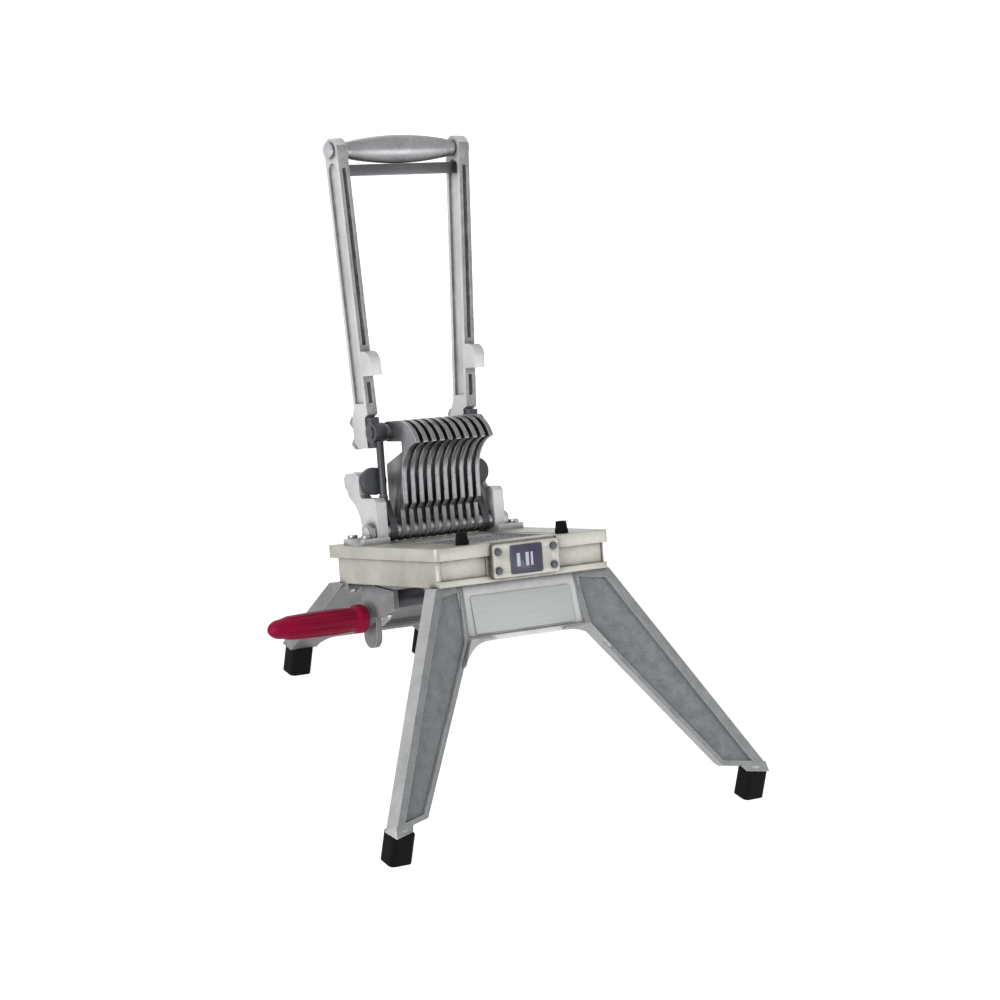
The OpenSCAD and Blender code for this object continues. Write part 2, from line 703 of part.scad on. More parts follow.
module index_plate() color([0.25, 0.24, 0.42]) on_deck()
    translate([0, skirt_u0 - block_proud, (block_v0 + block_v1)/2]) rotate([90, 0, 0])
        linear_extrude(index_t) round_rect(index_w, index_h, 2);

module deck_bumper() color([0.08, 0.08, 0.09]) on_deck()
    translate([arm_x, bumper_u, 0]) {
        cylinder(h = 4, r = bumper_r);
        translate([0, 0, 4 - eps]) cylinder(h = bumper_h - 4 + eps, r1 = bumper_r - 0.5, r2 = bumper_r - 1.5);
    }

// Side grip on its bracket

bracket_x = skirt_x - deck_wall;

module side_bracket() {
    r = 12;
    color("silver") on_deck() difference() {
        union() {
            across(-bracket_x, bracket_t) difference() {
                union() {
                    polygon([[side_grip_u - 10, -14], [side_grip_u + 10, -14],
                        [side_grip_u + r, -side_grip_v], [side_grip_u - r, -side_grip_v],
                        [side_grip_u - 46, -deck_h - 24], [side_grip_u - 46, -deck_h - 6],
                        [side_grip_u - 10, -deck_h - 2]]);
                    translate([side_grip_u, -side_grip_v]) circle(r);
                    translate([side_grip_u, -side_grip_v - r - 6]) circle(r);
                    translate([side_grip_u - r, -side_grip_v - r - 6]) square([2*r, r + 6]);
                }
                translate([side_grip_u, -side_grip_v]) circle(stud_r + run_gap);
            }
            across_rod(-bracket_x - 7, 7 + eps, side_grip_u, -side_grip_v, r - 1);
        }
        across_rod(-bracket_x - 8, bracket_t + 10, side_grip_u, -side_grip_v, stud_r + run_gap);
    }
}

grip_root_x = -bracket_x - 7;

module side_grip() {
    l = side_grip_l;
    color("crimson") on_deck() translate([grip_root_x, side_grip_u, -side_grip_v]) rotate([0, -90, 0])
        difference() {
            rotate_extrude() polygon(concat([[0, 0], [side_grip_r - 2, 0], [side_grip_r, 3],
                [side_grip_r, 9], [side_grip_r - 2, 13], [side_grip_r - 1, l*0.5],
                [side_grip_tip_r, l - 14]],
                [for (a = [20 : 20 : 80]) [side_grip_tip_r*cos(a), l - 14 + 14*sin(a)]], [[0, l]]));
            translate([0, 0, -cut]) cylinder(h = l*0.6, r = stud_r + run_gap);
        }
}

module grip_stud() color("dimgray") on_deck()
    across_rod(grip_root_x - side_grip_l*0.5, side_grip_l*0.5 + 7 + bracket_t + 16,
        side_grip_u, -side_grip_v, stud_r);

module grip_nuts() color("lightgray") on_deck() difference() {
    union() {
        across_rod(-bracket_x + bracket_t, 2, side_grip_u, -side_grip_v, nut_r + 1.5);
        across_hex(-bracket_x + bracket_t + 2, 8, side_grip_u, -side_grip_v, nut_r);
    }
    across_rod(-bracket_x + bracket_t - cut, 10 + 2*cut, side_grip_u, -side_grip_v, stud_r + run_gap);
}

module clamp_bar() color([0.22, 0.2, 0.25]) on_deck()
    across_rod(-bracket_x + bracket_t, bracket_x - bracket_t - rail_x - 2,
        side_grip_u - 36, -deck_h - 15, 9);

// Screws of the posts, the leg frames and the front block

module frame_screws() color("gray") on_deck() {
    both_sides() {
        for (u = post_screw_us()) {
            translate([post_screw_x, u, base_t]) cylinder(h = 3.5, r = 2*screw_r);
            translate([post_screw_x, u, -top_t]) cylinder(h = top_t + base_t + eps, r = screw_r - run_gap);
        }
        for (u = [boss_front_u, boss_rear_u]) {
            translate([boss_x, u, -deck_h - flange_t - 3.5]) cylinder(h = 3.5, r = 2*screw_r);
            translate([boss_x, u, -deck_h - flange_t - eps])
                cylinder(h = deck_h + flange_t - top_t - 6, r = screw_r - run_gap);
        }
    }
    for (sx = [-1, 1], v = block_screw_vs()) {
        along_rod(sx*block_screw_x, skirt_u0 - block_proud - 1.5, 1.5, v, screw_r + 1);
        along_rod(sx*block_screw_x, skirt_u0 - block_proud - eps, block_proud, v, screw_r - run_gap);
    }
}

// Lever: two channel arms, the side bars with their hubs, and the comb of fins

// An arm's own frame: its foot's middle at the origin, its length along z
module on_arm() on_pivot() translate([arm_x, 0, top_dv]) rotate([0, splay, 0]) children();

module arm_profile() {
    lug_z = (lug_dv - top_dv)/cos(splay);
    lug_r = lug_h/2;
    polygon(concat(
        [[pad_du, -foot_half], [arm_foot_du - 6, -foot_half], [arm_foot_du, -foot_half + 6],
         [arm_foot_du, foot_half - 4], [arm_du + arm_d, foot_half + 10]],
        arc([arm_mid, arm_l], arm_d/2, 0, 180, 16),
        [[arm_du, lug_z + lug_h]],
        arc([arm_du - lug_reach + lug_r, lug_z + lug_r], lug_r, 90, 180, 8),
        [[arm_du - lug_reach, lug_z], [arm_du, lug_z], [arm_du, foot_half + 3], [pad_du, foot_half]]));
}

module arm_pockets() {
    rim = 4;
    z0 = foot_half + 14;
    z1 = arm_l - 20;
    groove = 4.8;
    lug_z = (lug_dv - top_dv)/cos(splay);
    for (x0 = [-arm_t/2 - cut, arm_t/2 - pocket_t])
        across(x0, pocket_t + cut)
            polygon(concat([[arm_du + rim, z0], [arm_du + arm_d - rim, z0]],
                arc([arm_mid, z1], arm_d/2 - rim, 0, 180, 12)));
    translate([-groove/2, arm_du - cut, lug_z + lug_h + 6])
        cube([groove, rim + cut, arm_l - 24 - lug_z - lug_h]);
    translate([-groove/2, arm_du - cut, z0]) cube([groove, rim + cut, lug_z - z0 - 6]);
}

module arm() color("lightgray") difference() {
    on_arm() difference() {
        across(-arm_t/2, arm_t) arm_profile();
        arm_pockets();
        for (z = [-bolt_dz, bolt_dz]) along_rod(0, pad_du - cut, arm_d + 2*cut, z, bolt_r + run_gap);
    }
    on_pivot() across_rod(arm_x - arm_t, grip_x, arm_mid, grip_dv, grip_rod_r + run_gap);
}

module cross_grip() {
    steps = 18;
    bulge = grip_mid_r - grip_end_r;
    color("silver") on_pivot() translate([0, arm_mid, grip_dv]) rotate([0, 90, 0]) difference() {
        rotate_extrude() polygon(concat(
            [[0, -grip_half], [grip_end_r, -grip_half]],
            [for (k = [0 : steps]) let (z = -grip_half + 5 + k*(2*grip_half - 10)/steps,
                s = cos(90*z/(grip_half - 5))) [grip_end_r + bulge*pow(s, 0.8), z]],
            [[grip_end_r, grip_half], [0, grip_half]]));
        translate([0, 0, -grip_half - cut]) cylinder(h = 2*(grip_half + cut), r = grip_rod_r + run_gap);
    }
}

// The rod through the grip, and the rail between the arms under it
module grip_rod() color("gray") on_pivot() {
    end_x = grip_x + arm_t/2 + 1;
    rail_half = arm_x + (grip_dv - cross_drop - cross_h/2 - top_dv)*tan(splay) - arm_t/2 + pocket_t - 0.1;
    translate([-rail_half, arm_mid - cross_t/2, grip_dv - cross_drop - cross_h/2])
        cube([2*rail_half, cross_t, cross_h]);
    across_rod(-end_x, 2*end_x, arm_mid, grip_dv, grip_rod_r);
    both_sides() across_rod(end_x, 3, arm_mid, grip_dv, 2*grip_rod_r);
}

module side_bar() {
    stem_x = bar_x0 + stem_r + 0.75;
    web_top = 30;
    web_half = stem_r + 0.6;
    nut_size = 5;
    color([0.25, 0.25, 0.28]) difference() {
        union() {
            on_pivot() {
                across(bar_x0, bar_t) polygon(concat(arc([0, 0], fin_eye_r, 165, 375, 20),
                    [[top_du + web_half, web_top], [top_du - web_half, web_top]]));
                translate([stem_x, top_du, web_top - 2]) cylinder(h = top_dv - web_top, r = stem_r);
                translate([stem_x, top_du, web_top - 1]) cylinder(h = 6, r = nut_size, $fn = 6);
                across_rod(bar_x0, hub_l, top_du, top_dv, hub_r);
            }
            on_arm() translate([1 - arm_t/2, top_du + 1, -foot_half])
                cube([arm_t - 2, pad_du - top_du - 1, 2*foot_half]);
        }
        on_pivot() across_rod(bar_x0 - cut, hub_l + 5, top_du, top_dv, top_r + run_gap);
        on_pivot() across_rod(bar_x0 - cut, bar_t + 2*cut, 0, 0, shaft_r + run_gap);
        on_arm() for (z = [-bolt_dz, bolt_dz])
            along_rod(0, top_du + 3, hub_r + 2, z, bolt_r - 1 + run_gap);
    }
}

module arm_bolts() color("gray") both_sides() on_arm() for (z = [-bolt_dz, bolt_dz]) {
    along_rod(0, top_du + 3.5, pad_du + arm_d - top_du - 3.5 + eps, z, bolt_r - 1);
    translate([0, arm_foot_du, z]) rotate([-90, 0, 0]) cylinder(h = head_cap, r = bolt_r + 2.5, $fn = 6);
}

module top_shaft() color("darkgray") on_pivot()
    across_rod(-bar_x0 - hub_l - 1.5, 2*(bar_x0 + hub_l + 1.5), top_du, top_dv, top_r);

function fin_x(i) = (i - (fin_count - 1)/2)*pitch;

module fin_profile() {
    press_c = [1 - fin_front - press_r, press_dv];
    head_c = [top_du - 20, top_dv - 23];
    polygon(concat(
        arc([0, 0], fin_eye_r, 185, 355, 12),
        [[fin_rear, 12], [fin_rear, press_dv + 13], [neck_du, neck_dv], [neck_du, top_dv - head_eye_r]],
        arc([top_du, top_dv], head_eye_r, -90, 85, 12),
        arc(head_c, head_r, 80, 155, 10),
        arc(press_c, press_r, 82, 0, 14),
        [[1 - fin_front, 26], [1 - fin_eye_r, 20]]));
}

module fin(i) color([0.72, 0.72, 0.74]) on_pivot() difference() {
    across(fin_x(i) - fin_t/2, fin_t) fin_profile();
    across_rod(fin_x(i) - fin_t, 2*fin_t, 0, 0, shaft_r + run_gap);
    across_rod(fin_x(i) - fin_t, 2*fin_t, top_du, top_dv, top_r + run_gap);
}

module spacer_ring(x0, l, du, dv, r_in) on_pivot() difference() {
    across_rod(x0, l, du, dv, r_in + 2);
    across_rod(x0 - cut, l + 2*cut, du, dv, r_in + run_gap);
}

module fin_spacers() color("dimgray") {
    for (i = [0 : fin_count - 2]) {
        spacer_ring(fin_x(i) + fin_t/2, pitch - fin_t, 0, 0, shaft_r);
        spacer_ring(fin_x(i) + fin_t/2, pitch - fin_t, top_du, top_dv, top_r);
    }
    both_sides() {
        spacer_ring(comb_half, bar_x0 - comb_half, 0, 0, shaft_r);
        spacer_ring(comb_half, bar_x0 - comb_half, top_du, top_dv, top_r);
        spacer_ring(bar_x0 + bar_t, post_x - bar_x0 - bar_t - 2*soft_gap, 0, 0, shaft_r);
    }
}

deck_frame();
front_leg_frame();
rear_leg_frame();
name_plate();
foot(-front_foot_x, front_foot_y);  // foot_front_left
foot(front_foot_x, front_foot_y);  // foot_front_right
foot(-rear_foot_x, rear_foot_y);  // foot_rear_left
foot(rear_foot_x, rear_foot_y);  // foot_rear_right
mirror([1, 0, 0]) post();  // post_left
post();  // post_right
pivot_shaft();
pivot_nuts();
cartridge_front_rail();
cartridge_rear_rail();
mirror([1, 0, 0]) cartridge_side();  // cartridge_side_left
cartridge_side();  // cartridge_side_right
blade_rods();
front_block();
index_plate();
mirror([1, 0, 0]) deck_bumper();  // deck_bumper_left
deck_bumper();  // deck_bumper_right
mirror([1, 0, 0]) stop_bumper();  // stop_bumper_left
stop_bumper();  // stop_bumper_right
stop_bolts();
side_bracket();
side_grip();
grip_stud();
grip_nuts();
clamp_bar();
frame_screws();
mirror([1, 0, 0]) arm();  // arm_left
arm();  // arm_right
cross_grip();
grip_rod();
mirror([1, 0, 0]) side_bar();  // side_bar_left
side_bar();  // side_bar_right
top_shaft();
fin_spacers();
arm_bolts();
blade(0);  // blade_01
blade(1);  // blade_02
blade(2);  // blade_03
blade(3);  // blade_04
blade(4);  // blade_05
blade(5);  // blade_06
blade(6);  // blade_07
blade(7);  // blade_08
blade(8);  // blade_09
blade(9);  // blade_10
blade(10);  // blade_11
fin(0);  // fin_01
fin(1);  // fin_02
fin(2);  // fin_03
fin(3);  // fin_04
fin(4);  // fin_05
fin(5);  // fin_06
fin(6);  // fin_07
fin(7);  // fin_08
fin(8);  // fin_09
fin(9);  // fin_10
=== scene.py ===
"""Lever onion cutter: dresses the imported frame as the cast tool, on a pale studio floor."""

from __future__ import annotations

import logging
import math
from collections.abc import Callable, Iterable, Iterator
from contextlib import contextmanager
from dataclasses import dataclass
from enum import Enum

import bmesh
import bpy
from mathutils import Matrix, Vector


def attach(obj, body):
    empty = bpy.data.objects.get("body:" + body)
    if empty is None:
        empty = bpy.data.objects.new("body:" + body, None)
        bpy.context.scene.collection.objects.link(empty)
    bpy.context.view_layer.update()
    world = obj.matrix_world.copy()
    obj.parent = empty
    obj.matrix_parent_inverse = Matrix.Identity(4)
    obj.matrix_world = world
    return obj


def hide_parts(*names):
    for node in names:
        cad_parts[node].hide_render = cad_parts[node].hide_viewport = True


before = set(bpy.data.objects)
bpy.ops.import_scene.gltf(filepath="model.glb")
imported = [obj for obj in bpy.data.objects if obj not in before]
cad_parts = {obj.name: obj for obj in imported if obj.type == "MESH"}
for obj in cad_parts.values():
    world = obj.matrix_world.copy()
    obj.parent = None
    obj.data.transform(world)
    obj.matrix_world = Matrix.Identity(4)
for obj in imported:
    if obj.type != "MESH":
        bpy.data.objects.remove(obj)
LOG = logging.getLogger("onion_cutter")


class Body(Enum):
    """The two rigid bodies of the tool."""

    BASE = "base"
    LEVER = "lever"


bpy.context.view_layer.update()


# Shared sizes, in millimetres and degrees


MM = 0.001
PITCH = 9.525
MERGE_WIDTH = 0.002
FLAT_ANGLE = 0.6
ROUND_ANGLE = 30.0
CREASE_ANGLE = 38.0
SIDES = (-1, 1)


# Types


Colour = tuple[float, float, float]
Pair = tuple[float, float]
Triple = tuple[float, float, float]
Socket = bpy.types.NodeSocket


# Deck frame


@dataclass(frozen=True)
class DeckFrame:
    """The deck's tilted frame, whose Y runs behind its front edge and whose Z stands on it."""

    tilt: float = 20.0
    front_h: float = 232.0
    shift_y: float = -74.426

    def matrix(self) -> Matrix:
        """Works out where the deck stands.

        Returns:
            The matrix from deck millimetres to scene metres.
        """
        turn = Matrix.Rotation(math.radians(-self.tilt), 4, "X")
        place = Matrix.Translation(Vector((0.0, self.shift_y, self.front_h)) * MM)
        return place @ turn @ Matrix.Scale(MM, 4)


FROM_DECK = DeckFrame().matrix()
TO_DECK = FROM_DECK.inverted()


# Nodes


def opaque(colour: Colour) -> tuple[float, float, float, float]:
    """Returns a colour with full cover as its fourth number."""
    return (*colour, 1.0)


WHITE = opaque((1.0, 1.0, 1.0))


class NodeMaker:
    """Adds nodes to one tree and joins them."""

    noise_rough: float = 0.6

    def __init__(self, tree: bpy.types.NodeTree) -> None:
        """Keeps the tree that gets the nodes."""
        self.tree = tree

    def add(self, kind: str, **facts: object) -> bpy.types.Node:
        """Adds a node and sets its plain properties.

        Args:
            kind: the node's type name.
            facts: property names and values.

        Returns:
            The new node.
        """
        node = self.tree.nodes.new(kind)
        for key, value in facts.items():
            setattr(node, key, value)
        return node

    def add_group(self, group: bpy.types.NodeTree, inputs: dict[str, float]) -> bpy.types.Node:
        """Adds a shader group and sets its inputs.

        Args:
            group: the group.
            inputs: input names and values.

        Returns:
            The group's node.
        """
        node = self.add("ShaderNodeGroup", node_tree=group)
        for label, value in inputs.items():
            node.inputs[label].default_value = value
        return node

    def feed(self, socket: Socket, value: Socket | float | tuple[float, ...]) -> None:
        """Gives an input the value of another socket, or a plain one.

        Args:
            socket: the input.
            value: the other socket, a number or a colour of four numbers.
        """
        if isinstance(value, Socket):
            self.tree.links.new(value, socket)
        else:
            socket.default_value = value

    def reckon(self, operation: str, *values: Socket | float, clamp: bool = False) -> Socket:
        """Adds a Math node.

        Args:
            operation: the node's operation.
            values: its sockets or numbers, in order.
            clamp: keeps the result between nought and one.

        Returns:
            The result's socket.
        """
        node = self.add("ShaderNodeMath", operation=operation, use_clamp=clamp)
        for socket, value in zip(node.inputs, values):
            self.feed(socket, value)
        return node.outputs[0]

    def mix(self, share: Socket, first: Socket | tuple[float, ...],
            other: tuple[float, ...]) -> Socket:
        """Mixes two colours.

        Args:
            share: socket of the other colour's share.
            first: the first colour or its socket.
            other: the other colour.

        Returns:
            The mixed colour's socket.
        """
        node = self.add("ShaderNodeMix", data_type="RGBA")
        for label, value in (("Factor", share), ("A", first), ("B", other)):
            self.feed(node.inputs[label], value)
        return node.outputs["Result"]

    def spread(self, value: Socket, limits: Pair, results: Pair = (0.0, 1.0),
               way: str = "LINEAR") -> Socket:
        """Stretches a value from two limits to two results.

        Args:
            value: the socket to stretch.
            limits: the values that become the two results.
            results: the two results.
            way: how the value goes from one result to the other.

        Returns:
            The stretched value's socket.
        """
        node = self.add("ShaderNodeMapRange", clamp=True, interpolation_type=way)
        for end, limit, result in zip(("Min", "Max"), limits, results):
            node.inputs[f"From {end}"].default_value = limit
            node.inputs[f"To {end}"].default_value = result
        self.feed(node.inputs["Value"], value)
        return node.outputs["Result"]

    def noise(self, scale: Socket | float, octaves: float) -> Socket:
        """Adds a noise on Object coordinates.

        Args:
            scale: the noise's scale, or the socket that gives it.
            octaves: octaves of detail.

        Returns:
            The noise's socket.
        """
        place = self.add("ShaderNodeTexCoord")
        noise = self.add("ShaderNodeTexNoise")
        for label, value in (("Vector", place.outputs["Object"]), ("Scale", scale),
                             ("Detail", octaves), ("Roughness", self.noise_rough)):
            self.feed(noise.inputs[label], value)
        return noise.outputs["Fac"]


class GroupMaker(NodeMaker):
    """Builds one shader group whose inputs and outputs are numbers."""

    def __init__(self, name: str, inputs: dict[str, float], outputs: tuple[str, ...]) -> None:
        """Makes the empty group.

        Args:
            name: the group's name.
            inputs: input names with their default values.
            outputs: output names.
        """
        super().__init__(bpy.data.node_groups.new(name, "ShaderNodeTree"))
        face = self.tree.interface
        for label, value in inputs.items():
            socket = face.new_socket(label, in_out="INPUT", socket_type="NodeSocketFloat")
            socket.default_value = value
        for label in outputs:
            face.new_socket(label, in_out="OUTPUT", socket_type="NodeSocketFloat")
        self.source = self.add("NodeGroupInput")
        self.sink = self.add("NodeGroupOutput")

    def given(self, label: str) -> Socket:
        """Returns the socket of one of the group's inputs."""
        return self.source.outputs[label]

    def give(self, label: str, value: Socket) -> None:
        """Sends a value to one of the group's outputs."""
        self.feed(self.sink.inputs[label], value)


# Shader groups


@dataclass(frozen=True)
class CastSkin:
    """The sand-cast skin: a mottled tone, fine grains and small pits."""

    grain: float = 900.0
    mottle: float = 28.0
    mottle_octaves: float = 5.0
    grain_octaves: float = 2.0
    speck_scale: float = 420.0
    speck_octaves: float = 1.0
    tone_limits: Pair = (0.3, 0.7)
    mottle_share: float = 0.65
    pit_limits: Pair = (0.62, 0.72)
    pit_depth: float = 0.35
    rough_limits: Pair = (0.25, 0.75)
    rough_change: Pair = (-0.08, 0.1)

    def build(self) -> bpy.types.NodeTree:
        """Builds the group.

        Returns:
            The group, with Tone, Rough and Height outputs.
        """
        maker = GroupMaker("cast_skin", {"Grain": self.grain, "Mottle": self.mottle},
                           ("Tone", "Rough", "Height"))
        mottle = maker.noise(maker.given("Mottle"), self.mottle_octaves)
        grain = maker.noise(maker.given("Grain"), self.grain_octaves)
        speck = maker.noise(self.speck_scale, self.speck_octaves)
        coarse = maker.spread(mottle, self.tone_limits)
        fine = maker.spread(grain, self.tone_limits, (0.0, 1.0 - self.mottle_share))
        maker.give("Tone", maker.reckon("MULTIPLY_ADD", coarse, self.mottle_share, fine))
        pit = maker.reckon("MULTIPLY", maker.spread(speck, self.pit_limits), self.pit_depth)
        maker.give("Height", maker.reckon("SUBTRACT", grain, pit))
        maker.give("Rough", maker.spread(mottle, self.rough_limits, self.rough_change))
        return maker.tree


@dataclass(frozen=True)
class TurnedLines:
    """Fine lines along one axis, as a brush, a lathe or a grinder leaves."""

    across: Triple = (2600.0, 60.0, 60.0)
    octaves: float = 3.0
    tone_limits: Pair = (0.3, 0.7)
    rough_change: float = 0.12

    def build(self) -> bpy.types.NodeTree:
        """Builds the group.

        Returns:
            The group, with Tone, Rough and Height outputs.
        """
        inputs = {f"Across {axis}": value for axis, value in zip("XYZ", self.across)}
        maker = GroupMaker("turned_lines", inputs, ("Tone", "Rough", "Height"))
        place = maker.add("ShaderNodeTexCoord")
        scale = maker.add("ShaderNodeCombineXYZ")
        for socket, label in zip(scale.inputs, inputs):
            maker.feed(socket, maker.given(label))
        stretch = maker.add("ShaderNodeVectorMath", operation="MULTIPLY")
        maker.feed(stretch.inputs[0], place.outputs["Object"])
        maker.feed(stretch.inputs[1], scale.outputs[0])
        noise = maker.add("ShaderNodeTexNoise")
        for label, value in (("Vector", stretch.outputs[0]), ("Scale", 1.0), ("Detail", self.octaves)):
            maker.feed(noise.inputs[label], value)
        tone = maker.spread(noise.outputs["Fac"], self.tone_limits)
        maker.give("Tone", tone)
        maker.give("Rough", maker.reckon("MULTIPLY", tone, self.rough_change))
        maker.give("Height", noise.outputs["Fac"])
        return maker.tree


@dataclass(frozen=True)
class EdgeWearAndLight:
    """The mask of edges, from the rounded normal against the true one: rubbed wear on most finishes,
    painted highlight on the fins and painted shade on the deck.
    """

    reach: float = 0.0012
    samples: int = 4
    turn_limits: Pair = (0.99, 0.86)
    breakup: float = 260.0
    octaves: float = 3.0
    patch_limits: Pair = (0.3, 0.55)

    def build(self) -> bpy.types.NodeTree:
        """Builds the group.

        Returns:
            The group, with a Mask output.
        """
        maker = GroupMaker("edge_wear", {"Reach": self.reach, "Breakup": self.breakup}, ("Mask",))
        bevel = maker.add("ShaderNodeBevel", samples=self.samples)
        maker.feed(bevel.inputs["Radius"], maker.given("Reach"))
        true = maker.add("ShaderNodeNewGeometry")
        match = maker.add("ShaderNodeVectorMath", operation="DOT_PRODUCT")
        maker.feed(match.inputs[0], bevel.outputs["Normal"])
        maker.feed(match.inputs[1], true.outputs["Normal"])
        edge = maker.spread(match.outputs["Value"], self.turn_limits)
        patch = maker.spread(maker.noise(maker.given("Breakup"), self.octaves), self.patch_limits)
        maker.give("Mask", maker.reckon("MULTIPLY", edge, patch))
        return maker.tree


@dataclass(frozen=True)
class RecessShade:
    """The mask of painted shade in corners and narrow gaps, from ambient occlusion."""

    reach: float = 0.01
    samples: int = 6
    hollow_limits: Pair = (0.95, 0.55)
    breakup: float = 90.0
    octaves: float = 4.0
    patch_limits: Pair = (0.3, 0.6)
    patch_cover: Pair = (0.6, 1.0)

    def build(self) -> bpy.types.NodeTree:
        """Builds the group.

        Returns:
            The group, with a Mask output.
        """
        maker = GroupMaker("recess_grime", {"Reach": self.reach, "Breakup": self.breakup}, ("Mask",))
        hollow = maker.add("ShaderNodeAmbientOcclusion", samples=self.samples)
        maker.feed(hollow.inputs["Distance"], maker.given("Reach"))
        patch = maker.noise(maker.given("Breakup"), self.octaves)
        maker.give("Mask", maker.reckon(
            "MULTIPLY",
            maker.spread(hollow.outputs["AO"], self.hollow_limits),
            maker.spread(patch, self.patch_limits, self.patch_cover),
        ))
        return maker.tree


class Effects:
    """The shader groups that the finishes share."""

    def __init__(self) -> None:
        """Builds each group once."""
        self.cast = CastSkin().build()
        self.lines = TurnedLines().build()
        self.edge_wear_and_light = EdgeWearAndLight().build()
        self.hollow_shade = RecessShade().build()


EFFECTS = Effects()


# Finishes


class Skin(Enum):
    """How a finish gets its fine surface."""

    CAST = "cast"
    LINES = "lines"


@dataclass(frozen=True)
class Finish:
    """One material: two tones, roughness, a fine surface, painted shade in hollows and an edge colour.
    """

    name: str
    dark: Colour
    light: Colour
    rough: float
    metallic: float = 0.0
    skin: Skin = Skin.CAST
    grain: float = CastSkin.grain
    mottle: float = CastSkin.mottle
    across: Triple = TurnedLines.across
    bump: float = 0.2
    depth: float = 0.0002
    # Edge colour: rubbed wear on most finishes, a painted highlight on the fins, painted shade on the
    # deck.
    edge_wear_and_light_colour: Colour | None = None
    # Share, colour and reach of the painted shade in hollows, from ambient occlusion.
    hollow_shade: float = 0.0
    hollow_shade_colour: Colour = (0.05, 0.045, 0.035)
    hollow_shade_reach: float = RecessShade.reach
    specular: float = 0.5

    def build(self) -> bpy.types.Material:
        """Makes the material on the first call.

        Returns:
            The finish's material.
        """
        found = bpy.data.materials.get(self.name)
        if found is not None:
            return found
        made = bpy.data.materials.new(self.name)
        made.use_nodes = True
        made.diffuse_color = opaque(self.light)
        maker = NodeMaker(made.node_tree)
        skin = self.add_skin(maker)
        relief = maker.add("ShaderNodeBump")
        for label, value in (("Strength", self.bump), ("Distance", self.depth),
                             ("Height", skin.outputs["Height"])):
            maker.feed(relief.inputs[label], value)
        shader = made.node_tree.nodes["Principled BSDF"]
        for label, value in (
            ("Base Color", self.add_colour(maker, skin.outputs["Tone"])),
            ("Metallic", self.metallic),
            ("Roughness", maker.reckon("ADD", skin.outputs["Rough"], self.rough)),
            ("Specular IOR Level", self.specular),
            ("Normal", relief.outputs["Normal"]),
        ):
            maker.feed(shader.inputs[label], value)
        return made

    def add_skin(self, maker: NodeMaker) -> bpy.types.Node:
        """Adds the group of the fine surface.

        Args:
            maker: adds nodes to the material.

        Returns:
            The group's node.
        """
        if self.skin is Skin.CAST:
            return maker.add_group(EFFECTS.cast, {"Grain": self.grain, "Mottle": self.mottle})
        inputs = {f"Across {axis}": value for axis, value in zip("XYZ", self.across)}
        return maker.add_group(EFFECTS.lines, inputs)

    def add_colour(self, maker: NodeMaker, tone: Socket) -> Socket:
        """Mixes the two tones, then lays painted shade in hollows and the edge colour over them.

        Args:
            maker: adds nodes to the material.
            tone: socket of the light tone's share.

        Returns:
            The colour's socket.
        """
        colour = maker.mix(tone, opaque(self.dark), opaque(self.light))
        # Painted shade in hollows, from ambient occlusion.
        if self.hollow_shade > 0.0:
            hollow_shade_mask = maker.add_group(EFFECTS.hollow_shade, {"Reach": self.hollow_shade_reach})
            share = maker.reckon("MULTIPLY", hollow_shade_mask.outputs["Mask"], self.hollow_shade)
            colour = maker.mix(share, colour, opaque(self.hollow_shade_colour))
        # The edge colour: rubbed wear on most finishes, a painted highlight on the fins and painted
        # shade on the deck.
        if self.edge_wear_and_light_colour is not None:
            edge_wear_and_light = maker.add_group(EFFECTS.edge_wear_and_light, {})
            colour = maker.mix(edge_wear_and_light.outputs["Mask"], colour, opaque(self.edge_wear_and_light_colour))
        return colour


# The finishes below that darken their hollows get painted shade there, from ambient occlusion.
CASTING = Finish("satin_casting", (0.3, 0.305, 0.31), (0.56, 0.565, 0.57), 0.5, 0.3,
                 bump=0.4, depth=0.0004, edge_wear_and_light_colour=(0.7, 0.7, 0.71), hollow_shade=0.7)
# Painted light: a brighter copy of the casting for the posts, the arms and the apron's front.
LIT_CASTING = Finish("bright_casting", (0.47, 0.47, 0.48), (0.75, 0.75, 0.76), 0.46, 0.3,
                      bump=0.35, depth=0.0003, edge_wear_and_light_colour=(0.78, 0.78, 0.79), hollow_shade=0.8)
# Painted shade: a darker copy of the casting for the faces of the front legs that look forward.
LEG_FRONT_SHADE = Finish("leg_rim", (0.17, 0.18, 0.185), (0.32, 0.33, 0.335), 0.55, 0.3,
                 grain=620.0, mottle=70.0, bump=0.5, depth=0.0005, edge_wear_and_light_colour=(0.5, 0.5, 0.5))
# The sunk leg panels: a darker rough finish of their own, which also carries the painted shade of the
# legs' fronts.
SHADED_LEG_PANEL = Finish("rough_leg_panel", (0.11, 0.125, 0.135), (0.27, 0.29, 0.3), 0.6, 0.25,
                   grain=620.0, mottle=90.0, bump=0.7, depth=0.0006, hollow_shade=0.6)
# Painted shade: a darker copy of the casting, laid on the arms' front faces.
SHADED_ARM_FRONT = Finish("rough_arm_front", (0.18, 0.18, 0.185), (0.46, 0.46, 0.465), 0.58, 0.3,
                   grain=620.0, mottle=80.0, bump=0.6, depth=0.0005, edge_wear_and_light_colour=(0.6, 0.6, 0.6),
                   hollow_shade=0.7, hollow_shade_colour=(0.03, 0.03, 0.03))
# Its dark edge colour is painted shade along the deck's edges, and its brown hollow colour painted
# shade in its corners.
DECK_METAL = Finish("deck_casting", (0.36, 0.355, 0.315), (0.62, 0.61, 0.56), 0.46, 0.3,
                    bump=0.3, depth=0.0003, edge_wear_and_light_colour=(0.2, 0.175, 0.13), hollow_shade=1.0,
                    hollow_shade_colour=(0.045, 0.034, 0.02), hollow_shade_reach=0.022)
